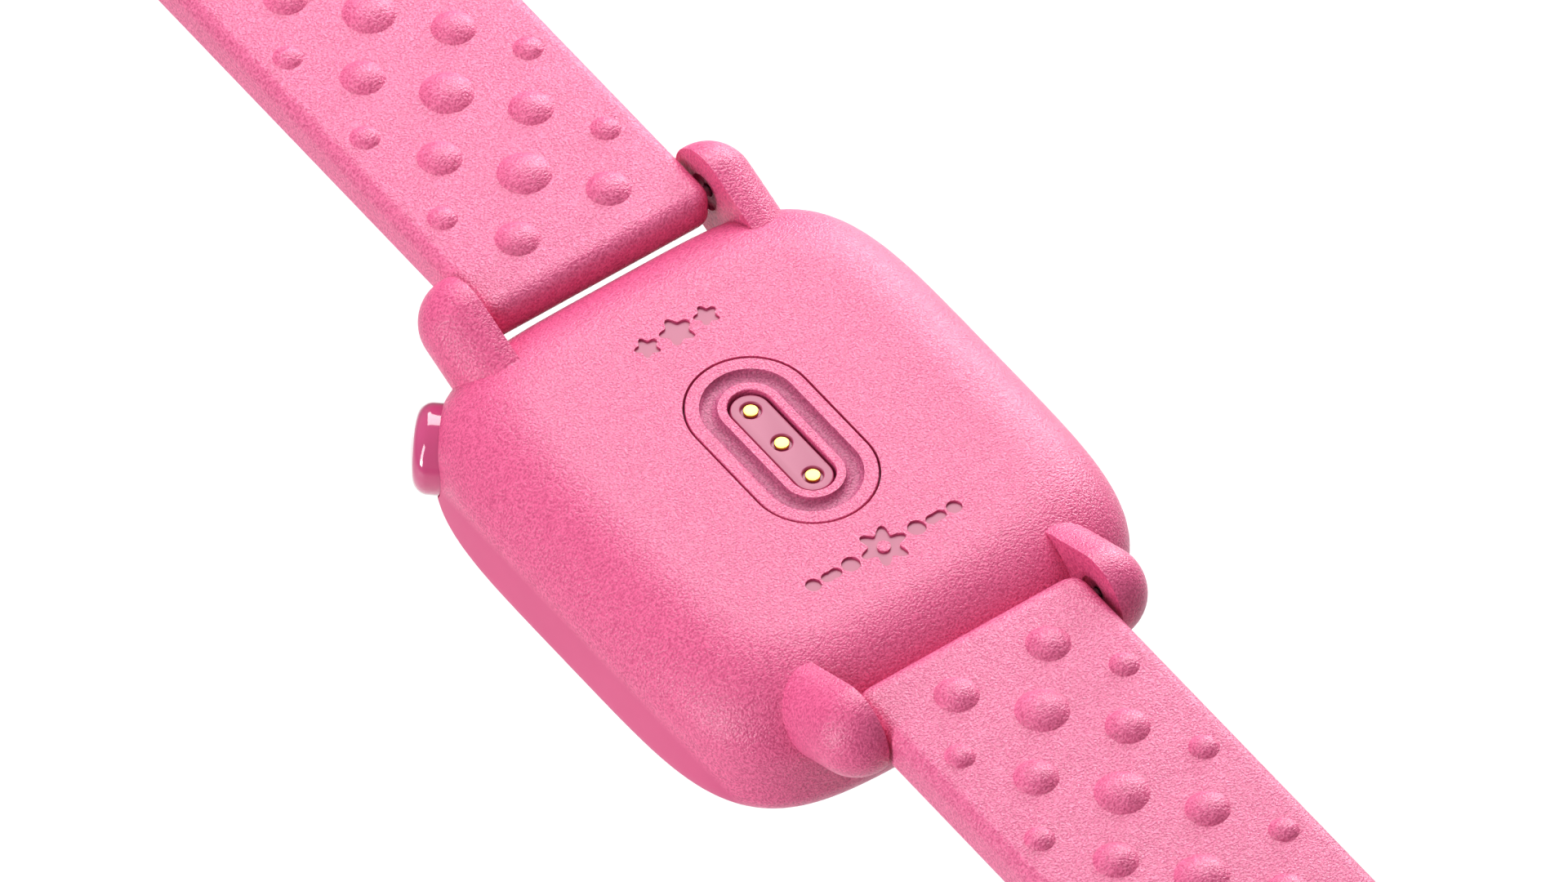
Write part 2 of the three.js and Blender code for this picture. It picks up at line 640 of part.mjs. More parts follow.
function insidePieces() {
  addPiece("case", "inner_frame", innerFrame(), magnesium);
  let number = 0;
  for (const sideY of [1, -1]) {
    for (const sideX of [-1, 1]) {
      number += 1;
      addPiece("case", `frame_screw_${number}`, screw(sideX * SCREW_X, sideY * SCREW_Y), steel);
    }
  }

  const boardHalfX = SCREW_X - BOSS_RADIUS - 0.7;
  const boardHalfY = CASE_LENGTH / 2 - 4.2;
  const boardTop = BOARD_BOTTOM + BOARD_THICKNESS;
  const board = solid(extrude(
    roundedRectangle(boardHalfX, boardHalfY, 3), BOARD_BOTTOM, boardTop,
  ));
  const notch = solid(switchBlock(WORKS_CLEARANCE, BOARD_THICKNESS));
  addPiece("case", "main_board", geometryOf(board.subtract(notch)), boardGreen);
  addPiece("case", "shield_can", extrude(
    roundedRectangle(6, 7, 0.8), FRAME_BOTTOM + 0.3, BOARD_BOTTOM - GAP,
  ), foil);

  const batteryEnd = boardHalfY - 1;
  const motorRadius = 4;
  const motorY = batteryEnd - motorRadius;
  const batteryHalfX = boardHalfX - 1.9;
  const batteryFar = motorY - motorRadius - 1;
  const batteryHalfY = (batteryFar + batteryEnd) / 2;
  addPiece("case", "battery_cell", extrude(
    roundedRectangle(batteryHalfX, batteryHalfY, 1.5), BATTERY_BOTTOM, BATTERY_TOP,
  ).translate(0, batteryFar - batteryHalfY, 0), foil);
  addPiece("case", "vibration_motor", discZ(
    motorRadius, BATTERY_BOTTOM, BATTERY_BOTTOM + 0.8 * (BATTERY_TOP - BATTERY_BOTTOM),
    3, motorY,
  ), nickel);

  addPiece("case", "tactile_switch", switchBlock(0), darkRubber);
}

// ---------------------------------------------------------------- charging port

function chargingInsert() {
  const flange = BACK - INSERT_FLANGE;
  let body = solid(loft(
    [[INSERT_BOSS_RADIUS, BACK - INSERT_HEIGHT], [INSERT_BOSS_RADIUS, flange],
      [INSERT_RADIUS, flange], [INSERT_RADIUS, BACK]],
    stadiumOutline,
  ));
  const middle = (GROOVE_INNER + GROOVE_OUTER) / 2;
  const half = (GROOVE_OUTER - GROOVE_INNER) / 2;
  const section = [[GROOVE_INNER, BACK + 1]];
  const steps = 6;
  for (let i = 0; i <= steps; i++) {
    const turn = (i / steps) * Math.PI;
    section.push([middle - half * Math.cos(turn), BACK - GROOVE_DEPTH * Math.sin(turn)]);
  }
  section.push([GROOVE_OUTER, BACK + 1]);
  body = body.subtract(solid(ringLoft(section, stadiumOutline)));
  body = body.subtract(solid(loft(
    [[SLOT_RADIUS, BACK - SLOT_DEPTH], [SLOT_RADIUS, BACK + 1]], stadiumOutline,
  )));
  for (const side of [-1, 0, 1]) {
    body = body.subtract(solid(discZ(
      CONTACT_STEM_RADIUS + CONTACT_BORE_CLEARANCE, 0, BACK, 0, side * CONTACT_PITCH, SMALL_ROUND,
    )));
  }
  return geometryOf(body);
}

function contactCarrier() {
  const top = BACK - CARRIER_RECESS;
  let body = solid(loft(
    [[CARRIER_RADIUS, BACK - SLOT_DEPTH + GAP], [CARRIER_RADIUS, top]], stadiumOutline,
  ));
  for (const side of [-1, 0, 1]) {
    const y = side * CONTACT_PITCH;
    body = body.subtract(solid(discZ(
      CONTACT_WELL_RADIUS, top - CONTACT_WELL_DEPTH, top + 1, 0, y, SMALL_ROUND + 4,
    )));
    body = body.subtract(solid(discZ(
      CONTACT_STEM_RADIUS + CONTACT_STEM_CLEARANCE, 0, top, 0, y, SMALL_ROUND,
    )));
  }
  return geometryOf(body);
}

function contact(y) {
  const floor = BACK - CARRIER_RECESS - CONTACT_WELL_DEPTH + 0.03;
  const end = BACK - PORT_PAD_DEPTH - 0.3;
  return turned([
    [0, end],
    [CONTACT_STEM_RADIUS, end],
    [CONTACT_STEM_RADIUS, floor],
    [CONTACT_HEAD_RADIUS, floor],
    [CONTACT_HEAD_RADIUS, floor + CONTACT_HEAD_HEIGHT - 0.06],
    [CONTACT_HEAD_RADIUS - 0.08, floor + CONTACT_HEAD_HEIGHT],
    [0, floor + CONTACT_HEAD_HEIGHT],
  ], SMALL_ROUND + 4).translate(0, y, 0);
}

function chargingPort() {
  addPiece("case", "charging_insert", chargingInsert(), pinkCase);
  const ledge = BACK - INSERT_FLANGE - GASKET_THICKNESS - GAP;
  addPiece("case", "insert_gasket", ringLoft(
    [[INSERT_RADIUS - 0.1, ledge], [INSERT_RADIUS - 0.1, ledge + GASKET_THICKNESS],
      [INSERT_BOSS_RADIUS + 0.15, ledge + GASKET_THICKNESS], [INSERT_BOSS_RADIUS + 0.15, ledge]],
    stadiumOutline,
  ), darkRubber);
  addPiece("case", "contact_carrier", contactCarrier(), mauve);
  [1, 0, -1].forEach((side, i) => {
    addPiece("case", `charging_contact_${i + 1}`, contact(side * CONTACT_PITCH), gold);
  });
  const flexTop = BACK - PORT_PAD_DEPTH - FLEX_SIZE.gap;
  addPiece("case", "contact_flex", extrude(
    roundedRectangle(FLEX_SIZE.halfWidth, CONTACT_PITCH + FLEX_SIZE.overhang, FLEX_SIZE.corner),
    flexTop - FLEX_SIZE.thickness, flexTop,
  ), amber);
  const magnetTop = BACK - PORT_PAD_DEPTH - GAP;
  [1, -1].forEach((side, i) => {
    addPiece("case", `charger_magnet_${i + 1}`, discZ(
      MAGNET_RADIUS, magnetTop - MAGNET_THICKNESS, magnetTop,
      0, side * (CONTACT_PITCH + MAGNET_GAP + MAGNET_RADIUS), SMALL_ROUND,
    ), nickel);
  });
}

// ---------------------------------------------------------------- side button

function buttonPieces() {
  const flat = BUTTON_RADIUS - BUTTON_EDGE;
  const groove = BUTTON_BOSS_END - GAP;
  const grooveRadius = CLIP_GROOVE_RADIUS;
  const profile = [
    [0, STEM_END],
    [STEM_RADIUS - 0.2, STEM_END],
    [STEM_RADIUS, STEM_END + 0.2],
    [STEM_RADIUS, groove - CLIP_THICKNESS - 2 * GAP],
    [grooveRadius, groove - CLIP_THICKNESS - 2 * GAP],
    [grooveRadius, groove],
    [STEM_RADIUS, groove],
    [STEM_RADIUS, -BUTTON_SKIRT],
    [BUTTON_RADIUS, -BUTTON_SKIRT],
  ];
  const steps = 4;
  for (let i = 0; i <= steps; i++) {
    const turn = (i / steps) * (Math.PI / 2);
    profile.push([
      flat + BUTTON_EDGE * Math.cos(turn),
      BUTTON_PROUD - BUTTON_EDGE * (1 - Math.sin(turn)),
    ]);
  }
  profile.push([flat / 2, BUTTON_PROUD + 0.75 * BUTTON_CROWN], [0, BUTTON_PROUD + BUTTON_CROWN]);
  addPiece("button", "button_cap", atButton(turned(profile)), raspberry);

  // A snap ring with a mouth, in the stem's groove behind the boss.
  const clip = new THREE.Shape();
  const mouth = CLIP_MOUTH;
  clip.absarc(0, 0, CLIP_RADIUS, mouth, 2 * Math.PI - mouth);
  clip.absarc(0, 0, CLIP_GROOVE_RADIUS + CLIP_CLEARANCE, 2 * Math.PI - mouth, mouth, true);
  clip.closePath();
  addPiece("button", "button_clip", atButton(
    extrude(clip, groove - CLIP_THICKNESS - GAP, groove - GAP, 14),
  ), steel);

  const inner = STEM_RADIUS + 0.05;
  const outer = SEAL_RADIUS - 0.05;
  addPiece("case", "button_seal", atButton(turned([
    [inner, SEAL_FLOOR + 0.1],
    [outer, SEAL_FLOOR + 0.1],
    [outer, POCKET_FLOOR - 0.1],
    [inner, POCKET_FLOOR - 0.1],
    [inner, SEAL_FLOOR + 0.1],
  ])), darkRubber);
}

// ---------------------------------------------------------------- straps

// A flat bar with a full-round end on the spring bar and softened long edges.
function strapBlank(length, endRadius) {
  const section = roundedRectangle(
    STRAP_WIDTH / 2, STRAP_THICKNESS / 2, STRAP_BOTTOM_CORNER, STRAP_TOP_CORNER,
  );
  const half = STRAP_THICKNESS / 2;
  const side = new THREE.Shape();
  side.absarc(0, 0, half, Math.PI / 2, (3 * Math.PI) / 2);
  side.absarc(length, 0, endRadius, -Math.PI / 2, Math.PI / 2);
  side.closePath();
  return solid(extrudeY(section, -half - 1, length + half + 1, 3))
    .intersect(solid(extrudeX(side, -STRAP_WIDTH, STRAP_WIDTH, 6)))
    .subtract(solid(discX(BAR_BORE, -STRAP_WIDTH, STRAP_WIDTH, 0, 0, SMALL_ROUND + 4)));
}

function dome({ diameter, height }, x, y) {
  const radius = (diameter ** 2 / 4 + height ** 2) / (2 * height);
  const rim = diameter / 2;
  const shoulderRadius = DOME_WAIST * rim;
  const sink = DOME_SINK;
  return solid(turned([
    [0, -sink],
    [rim, -sink],
    [rim, 0],
    [shoulderRadius, height - radius + Math.sqrt(radius ** 2 - shoulderRadius ** 2)],
    [0, height],
  ], DOME_SIDES).translate(x, y, STRAP_THICKNESS / 2));
}

function addDomes(strap, length) {
  let body = strap;
  for (let row = 0; DOME_START + row * DOME_ROW_PITCH < length; row++) {
    const y = DOME_START + row * DOME_ROW_PITCH;
    const domes = row % 2
      ? [[SMALL_DOME, -DOME_X], [LARGE_DOME, 0], [SMALL_DOME, DOME_X]]
      : [[MEDIUM_DOME, -PAIR_X], [MEDIUM_DOME, PAIR_X]];
    for (const [kind, x] of domes) body = body.add(dome(kind, x, y));
  }
  return body;
}

function buckleStrap() {
  let body = strapBlank(BUCKLE_STRAP_LENGTH, STRAP_THICKNESS / 2);
  body = body.subtract(solid(discX(
    BAR_BORE, -STRAP_WIDTH, STRAP_WIDTH, BUCKLE_STRAP_LENGTH, 0, SMALL_ROUND + 4,
  )));
  const notch = TONGUE_WIDTH / 2 + TONGUE_NOTCH_CLEARANCE;
  body = body.subtract(solid(block(
    [-notch, notch],
    [BUCKLE_STRAP_LENGTH - TONGUE_NOTCH_DEPTH, BUCKLE_STRAP_LENGTH + STRAP_THICKNESS],
    [-STRAP_THICKNESS, STRAP_THICKNESS],
  )));
  return geometryOf(addDomes(body, DOMED_LENGTH)).translate(0, PIVOT_Y, PIVOT_Z);
}

function holeStrap() {
  let body = strapBlank(HOLE_STRAP_LENGTH, STRAP_THICKNESS / 2 - STRAP_BOTTOM_CORNER);
  const plan = new THREE.Shape();
  const half = STRAP_WIDTH / 2;
  const shoulderY = HOLE_STRAP_LENGTH - TIP_LENGTH;
  plan.moveTo(-half, -STRAP_THICKNESS);
  plan.lineTo(half, -STRAP_THICKNESS);
  plan.lineTo(half, shoulderY);
  plan.absellipse(0, shoulderY, half, TIP_LENGTH, 0, Math.PI);
  plan.closePath();
  body = body.intersect(solid(extrude(plan, -STRAP_THICKNESS, STRAP_THICKNESS, 12)));
  for (let i = 0; i < HOLE_COUNT; i++) {
    body = body.subtract(solid(discZ(
      HOLE_RADIUS, -STRAP_THICKNESS, STRAP_THICKNESS, 0, FIRST_HOLE + i * HOLE_PITCH, SMALL_ROUND,
    )));
  }
  return geometryOf(addDomes(body, DOMED_LENGTH))
    .rotateZ(Math.PI)
    .translate(0, -PIVOT_Y, PIVOT_Z);
}

function springBar(end, sideY) {
  const y = sideY * PIVOT_Y;
  const bore = BAR_PIN_RADIUS + BAR_PIN_CLEARANCE;
  const floor = BAR_HALF - BAR_PIN_HOUSED - BAR_PIN_ROOM;
  addPiece("case", `spring_bar_tube_${end}`, turned([
    [0, -floor],
    [bore, -floor],
    [bore, -BAR_HALF],
    [BAR_RADIUS, -BAR_HALF],
    [BAR_RADIUS, BAR_HALF],
    [bore, BAR_HALF],
    [bore, floor],
    [0, floor],
  ], SMALL_ROUND).rotateY(Math.PI / 2).translate(0, y, PIVOT_Z), steel);
  for (const [side, sideX] of [["left", -1], ["right", 1]]) {
    const ends = [BAR_HALF - BAR_PIN_HOUSED, LUG_FACE + BAR_PIN_REACH]
      .map((x) => sideX * x)
      .sort((a, b) => a - b);
    addPiece("case", `spring_bar_pin_${end}_${side}`, discX(
      BAR_PIN_RADIUS, ...ends, y, PIVOT_Z, 10,
    ), steel);
  }
}

// ---------------------------------------------------------------- buckle and keepers

function buckleFrame() {
  const half = BUCKLE_THICKNESS / 2;
  const tail = STRAP_THICKNESS / 2;
  const inner = BUCKLE_HALF - BUCKLE_ARM;
  const innerFront = BUCKLE_REACH - BUCKLE_FRONT_BAR;
  const plan = new THREE.Shape();
  plan.moveTo(BUCKLE_HALF, -tail);
  plan.absarc(BUCKLE_HALF - BUCKLE_CORNER, BUCKLE_REACH - BUCKLE_CORNER, BUCKLE_CORNER, 0,
    Math.PI / 2);
  plan.absarc(BUCKLE_CORNER - BUCKLE_HALF, BUCKLE_REACH - BUCKLE_CORNER, BUCKLE_CORNER,
    Math.PI / 2, Math.PI);
  plan.lineTo(-BUCKLE_HALF, -tail);
  plan.lineTo(-inner, -tail);
  plan.absarc(
    BUCKLE_INNER_CORNER - inner, innerFront - BUCKLE_INNER_CORNER, BUCKLE_INNER_CORNER,
     Math.PI, Math.PI / 2, true);
  plan.absarc(
    inner - BUCKLE_INNER_CORNER, innerFront - BUCKLE_INNER_CORNER, BUCKLE_INNER_CORNER,
     Math.PI / 2, 0, true);
  plan.lineTo(inner, -tail);
  plan.closePath();
  const side = new THREE.Shape();
  side.absarc(0, 0, tail, Math.PI / 2, (3 * Math.PI) / 2);
  side.lineTo(BUCKLE_REACH / 3, -half);
  side.absarc(BUCKLE_REACH - half, 0, half, -Math.PI / 2, Math.PI / 2);
  side.lineTo(BUCKLE_REACH / 3, half);
  side.closePath();
  let body = solid(extrude(plan, -tail, tail, 6))
    .intersect(solid(extrudeX(side, -BUCKLE_HALF - 1, BUCKLE_HALF + 1, 6)));
  body = body.subtract(solid(discX(
    BAR_BORE, -inner - 1.2, inner + 1.2, 0, 0, SMALL_ROUND,
  )));
  return geometryOf(body).translate(0, BUCKLE_BAR_Y, PIVOT_Z);
}

function buckleTongue() {
  const half = TONGUE_WIDTH / 2;
  const rest = -BUCKLE_THICKNESS / 2 - TONGUE_REST_GAP; // under the buckle's front bar
  const end = BUCKLE_REACH + TONGUE_OVERHANG;
  const side = new THREE.Shape();
  side.absarc(0, 0, TONGUE_LOOP_RADIUS, Math.PI / 3, (3 * Math.PI) / 2);
  side.lineTo(end - TONGUE_THICKNESS, rest - TONGUE_THICKNESS);
  side.absarc(end - TONGUE_THICKNESS, rest - TONGUE_THICKNESS / 2, TONGUE_THICKNESS / 2,
    -Math.PI / 2, Math.PI / 2);
  side.lineTo(BUCKLE_REACH - BUCKLE_FRONT_BAR - 1.5, rest);
  side.closePath();
  const body = solid(extrudeX(side, -half, half, 8))
    .subtract(solid(discX(BAR_BORE, -half - 1, half + 1, 0, 0, SMALL_ROUND)));
  return geometryOf(body).translate(0, BUCKLE_BAR_Y, PIVOT_Z);
}

function keeper(clearance, fromBar) {
  const halfX = STRAP_WIDTH / 2 + clearance;
  const roof = STRAP_TOP + clearance;
  const floor = STRAP_BOTTOM - KEEPER_SPACE;
  const halfZ = (roof - floor) / 2;
  const outer = roundedRectangle(halfX + KEEPER_WALL, halfZ + KEEPER_WALL, 2);
  outer.holes.push(roundedRectangle(halfX, halfZ, KEEPER_INNER_CORNER));
  const y = BUCKLE_BAR_Y - fromBar;
  return extrudeY(outer, y - KEEPER_WIDTH / 2, y + KEEPER_WIDTH / 2, 4)
    .translate(0, 0, (roof + floor) / 2);
}

function buckleEnd() {
  addPiece("buckle", "buckle_frame", buckleFrame(), steel);
  addPiece("buckle", "buckle_bar", discX(
    BAR_RADIUS, -LUG_FACE - 1, LUG_FACE + 1, BUCKLE_BAR_Y, PIVOT_Z, SMALL_ROUND,
  ), steel);
  addPiece("tongue", "buckle_tongue", buckleTongue(), steel);
  addPiece("buckleStrap", "fixed_keeper", keeper(FIXED_KEEPER_CLEARANCE, FIXED_KEEPER_FROM_BAR), pinkStrap);
  addPiece("keeper", "sliding_keeper",
    keeper(KEEPER_CLEARANCE, SLIDING_KEEPER_FROM_BAR), pinkStrap);
}

// ---------------------------------------------------------------- the whole watch

addPiece("case", "rear_housing", housing(), pinkCase);
chargingPort();
frontPieces();
insidePieces();
buttonPieces();
addPiece("buckleStrap", "upper_strap", buckleStrap(), pinkStrap);
addPiece("holeStrap", "lower_strap", holeStrap(), pinkStrap);
springBar("upper", 1);
springBar("lower", -1);
buckleEnd();

export default watch;
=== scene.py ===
# %% [markdown]
# # A child's smartwatch, seen from the side that lies on the wrist
# The watch is a moulded pink case with four horn-shaped lugs, a strap in two parts with raised
# domes, a charging port with three gold contacts, and one glossy button on a corner.
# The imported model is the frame: it says where each part is and how it moves. This script builds
# finer meshes on it, gives every part a finish, and lights it like a product on white paper.

# %% Load the fixed frame
import json
import math

import bmesh
import bpy
import numpy as np
from mathutils import Matrix, Vector

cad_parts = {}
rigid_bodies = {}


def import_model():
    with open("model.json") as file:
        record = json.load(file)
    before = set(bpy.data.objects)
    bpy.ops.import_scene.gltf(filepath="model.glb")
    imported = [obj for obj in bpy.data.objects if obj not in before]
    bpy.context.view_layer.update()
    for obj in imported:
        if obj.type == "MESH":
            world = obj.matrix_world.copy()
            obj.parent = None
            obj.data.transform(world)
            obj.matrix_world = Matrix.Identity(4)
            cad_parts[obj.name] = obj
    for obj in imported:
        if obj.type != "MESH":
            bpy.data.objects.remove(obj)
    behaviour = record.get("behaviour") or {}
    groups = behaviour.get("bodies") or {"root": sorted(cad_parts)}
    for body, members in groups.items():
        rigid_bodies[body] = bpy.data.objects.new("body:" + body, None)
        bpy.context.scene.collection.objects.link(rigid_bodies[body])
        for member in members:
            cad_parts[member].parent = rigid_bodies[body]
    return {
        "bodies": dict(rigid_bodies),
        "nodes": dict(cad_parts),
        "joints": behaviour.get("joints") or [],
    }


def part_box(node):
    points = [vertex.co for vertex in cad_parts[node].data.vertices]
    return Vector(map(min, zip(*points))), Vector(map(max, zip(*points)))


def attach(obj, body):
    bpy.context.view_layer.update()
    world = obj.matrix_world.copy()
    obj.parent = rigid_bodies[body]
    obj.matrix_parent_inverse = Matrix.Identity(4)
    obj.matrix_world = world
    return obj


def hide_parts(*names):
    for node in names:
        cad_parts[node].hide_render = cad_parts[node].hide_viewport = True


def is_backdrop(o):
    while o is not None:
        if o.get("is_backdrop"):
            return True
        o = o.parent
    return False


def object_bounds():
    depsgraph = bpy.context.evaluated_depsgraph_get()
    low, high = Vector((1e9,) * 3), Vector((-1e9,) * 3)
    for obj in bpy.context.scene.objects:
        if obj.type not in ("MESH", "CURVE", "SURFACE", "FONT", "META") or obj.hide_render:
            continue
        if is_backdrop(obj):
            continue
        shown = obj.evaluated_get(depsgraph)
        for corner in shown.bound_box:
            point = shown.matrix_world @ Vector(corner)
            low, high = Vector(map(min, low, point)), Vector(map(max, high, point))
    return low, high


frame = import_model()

own = set(frame["bodies"].values()) | set(frame["nodes"].values())
for startup_object in [each for each in bpy.data.objects if each not in own]:
    bpy.data.objects.remove(startup_object)
cad_box = [list(corner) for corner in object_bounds()]
print("nodes:", len(frame["nodes"]))

# %% [markdown]
# ## Places
# Blender works in metres, but a watch is easier to think about in millimetres. So every shape is
# drawn in millimetres and turned to metres once, when its mesh is made. Places come from the
# frame: the joints give the pivots, and the boxes of the nodes give the heights.

# %% Read the main places from the frame
MM = 0.001
joints = {joint["name"]: joint for joint in frame["joints"]}


def node_box(node):
    """Lowest and highest corner of a CAD node, in millimetres."""
    low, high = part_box(node)
    return np.array(low) / MM, np.array(high) / MM


PIVOT_Y, PIVOT_Z = (value / MM for value in joints["upper_strap_hinge"]["pos_m"][1:])
BUCKLE_Y = joints["buckle_hinge"]["pos_m"][1] / MM
BACK = node_box("charging_insert")[1][2]
CASE_HALF_X = node_box("rear_housing")[1][0]
BAR_OVERHANG = 1.26  # how far the spring bars lie outside the case's ends
CASE_HALF_Y = PIVOT_Y - BAR_OVERHANG
STRAP_HALF = node_box("upper_strap")[1][0]
HALF_THICK = PIVOT_Z - node_box("upper_strap")[0][2]
STRAP_SIDE_GAP = 0.3
LUG_FACE = STRAP_HALF + STRAP_SIDE_GAP
print("back of the case at", round(BACK, 2), "mm, pivots at", round(PIVOT_Y, 2), round(PIVOT_Z, 2))

# %% [markdown]
# ## Two kinds of surface
# Nearly every part of the watch is one of two things. A **loft** is a stack of outlines, like
# sheets of card: the case, the strap and the charging insert are lofts whose outline shrinks as
# it nears an edge. A **ring** is a section carried round an outline: the bezel and the keepers.
# One function makes both, which keeps each part down to its outline and a short list of levels.

# %% Mesh helpers
def in_scene(name, data):
    """A new object that holds this data, linked to the scene."""
    thing = bpy.data.objects.new(name, data)
    bpy.context.scene.collection.objects.link(thing)
    return thing


def make_object(name, vertices, faces):
    """A mesh object from points in millimetres."""
    mesh = bpy.data.meshes.new(name)
    mesh.from_pydata((np.asarray(vertices, float) * MM).tolist(), [], faces)
    mesh.validate()
    return in_scene(name, mesh)


def bands(rows, count, closed):
    """Quads between each ring of points and the next."""
    faces = []
    for row in range(rows if closed else rows - 1):
        here, there = row * count, ((row + 1) % rows) * count
        for i in range(count):
            j = (i + 1) % count
            faces.append((here + i, here + j, there + j, there + i))
    return faces


def skin(name, rings, closed=False, flip=False):
    """A body from rings of points: a stack with flat ends, or a closed ring."""
    rows, count = len(rings), len(rings[0])
    faces = bands(rows, count, closed)
    if not closed:
        faces.append(tuple(reversed(range(count))))
        faces.append(tuple(range((rows - 1) * count, rows * count)))
    if flip:
        faces = [tuple(reversed(face)) for face in faces]
    return make_object(name, np.concatenate(rings), faces)


def loft(name, levels, outline, closed=False):
    """A body whose outline changes from level to level; levels are (offset, height)."""
    rings = [[(x, y, height) for x, y in outline(offset)] for offset, height in levels]
    return skin(name, rings, closed)


def turned(name, profile, sides=96):
    """A body turned about Z from (radius, height), lowest first; both ends lie on the axis."""
    angles = np.linspace(0, 2 * np.pi, sides, endpoint=False)
    inner = profile[1:-1]
    rings = [[(radius * math.cos(a), radius * math.sin(a), height) for a in angles]
             for radius, height in inner]
    vertices = np.concatenate(rings + [[(0, 0, profile[0][1]), (0, 0, profile[-1][1])]])
    faces = bands(len(inner), sides, False)
    low, high = len(vertices) - 2, len(vertices) - 1
    last = (len(inner) - 1) * sides
    for i in range(sides):
        j = (i + 1) % sides
        faces.append((low, j, i))
        faces.append((high, last + i, last + j))
    return make_object(name, vertices, faces)


def drum(name, radius, low, high, sides=96):
    """A plain cylinder, used only to cut or to thicken."""
    return turned(name, [(0, low), (radius, low), (radius, high), (0, high)], sides)


def arc(centre, radius, start, end, steps):
    """Points (offset, height) along an arc, with its angles in degrees."""
    angles = np.radians(np.linspace(start, end, steps + 1))
    return [(centre[0] + radius * math.cos(a), centre[1] + radius * math.sin(a)) for a in angles]


def shade(piece, sharp_degrees=30):
    """Smooth shading that keeps the creases."""
    piece.data.shade_smooth()
    piece.data.set_sharp_from_angle(angle=math.radians(sharp_degrees))
    return piece


def bake_modifiers(piece):
    """Turns a piece's modifiers into plain mesh."""
    graph = bpy.context.evaluated_depsgraph_get()
    baked = bpy.data.meshes.new_from_object(piece.evaluated_get(graph))
    piece.modifiers.clear()
    old = piece.data
    piece.data = baked
    bpy.data.meshes.remove(old)
    return piece


def combine(target, tool, operation="DIFFERENCE"):
    """Cuts or joins one closed mesh with another and removes the tool."""
    modifier = target.modifiers.new("combine", "BOOLEAN")
    modifier.operation = operation
    modifier.solver = "MANIFOLD"
    modifier.object = tool
    bake_modifiers(target)
    bpy.data.objects.remove(tool)
    return target


def transform(piece, matrix):
    """Moves a piece's own points; matrix works in millimetres."""
    metres = matrix.copy()
    metres.translation = metres.translation * MM
    piece.data.transform(metres)
    piece.data.update()
    return piece


def merge(name, pieces):
    """One object from several closed meshes that don't touch."""
    joined = bmesh.new()
    for piece in pieces:
        joined.from_mesh(piece.data)
        bpy.data.objects.remove(piece)
    mesh = bpy.data.meshes.new(name)
    joined.to_mesh(mesh)
    joined.free()
    return in_scene(name, mesh)


def report(piece):
    """Prints what was made."""
    size = np.array([list(v.co) for v in piece.data.vertices])
    size = (size.max(0) - size.min(0)) / MM
    print(f"{piece.name}: {len(piece.data.polygons)} faces, {np.round(size, 1)} mm")
    return piece


# %% [markdown]
# ## Colours and nodes
# A colour picked on a screen is an sRGB value, and Blender's sockets want linear light. One
# function does that step for every colour. Another adds a node, sets it and links it, and the
# rest are the few groups of nodes that most finishes share.

# %% Colour and node helpers
def linear(hex_colour):
    """An sRGB hex colour as the linear RGBA that a socket wants."""
    channels = [int(hex_colour[i:i + 2], 16) / 255 for i in (1, 3, 5)]
    light = [c / 12.92 if c <= 0.04045 else ((c + 0.055) / 1.055) ** 2.4 for c in channels]
    return (*light, 1.0)


def fill(node, **inputs):
    """Sets inputs by name or _number. A socket is linked; a number or a colour is a value."""
    for key, value in inputs.items():
        name = key.replace("_", " ").strip()
        socket = node.inputs[int(name) if name.isdigit() else name]
        if isinstance(value, bpy.types.NodeSocket):
            node.id_data.links.new(value, socket)
        else:
            socket.default_value = value
    return node


def add(tree, kind, settings=None, **inputs):
    """Adds a node. Settings are its properties; inputs are numbers, colours or sockets."""
    node = tree.nodes.new("ShaderNode" + kind)
    for key, value in (settings or {}).items():
        setattr(node, key, value)
    return fill(node, **inputs)


def new_material(name):
    """An empty material with a Principled shader on its output."""
    material = bpy.data.materials.new(name)
    material.use_nodes = True
    tree = material.node_tree
    tree.nodes.clear()
    shader = add(tree, "BsdfPrincipled")
    add(tree, "OutputMaterial", Surface=shader.outputs[0])
    return material, tree, shader


def compute(tree, operation, *values):
    """The result of one Math node."""
    numbered = {f"_{i}": value for i, value in enumerate(values)}
    return add(tree, "Math", {"operation": operation}, **numbered).outputs[0]


def remap(tree, value, low, high, start=0.0, end=1.0):
    """A value stretched from low..high to start..end."""
    return add(tree, "MapRange", _0=value, _1=low, _2=high, _3=start, _4=end).outputs[0]


def tint(tree, shader, share, first, second):
    """Colours a surface between two tones."""
    colour = add(tree, "Mix", {"data_type": "RGBA"}, _0=share, _6=linear(first), _7=linear(second))
    fill(shader, Base_Color=colour.outputs[2])


def emboss(tree, shader, height, depth):
    """Bumps a surface by a height from 0 to 1; the depth is in millimetres."""
    bump = add(tree, "Bump", Strength=1.0, Distance=depth * MM, Height=height)
    fill(shader, Normal=bump.outputs["Normal"])


def noise(tree, size, detail, stretch=(1, 1, 1), **more):
    """Noise that rides with the piece, in cells of this many millimetres."""
    point = add(tree, "TexCoord").outputs["Object"]
    point = add(tree, "Mapping", Vector=point, Scale=stretch).outputs[0]
    scale = 1 / (size * MM)
    return add(tree, "TexNoise", Vector=point, Scale=scale, Detail=detail, **more).outputs["Fac"]
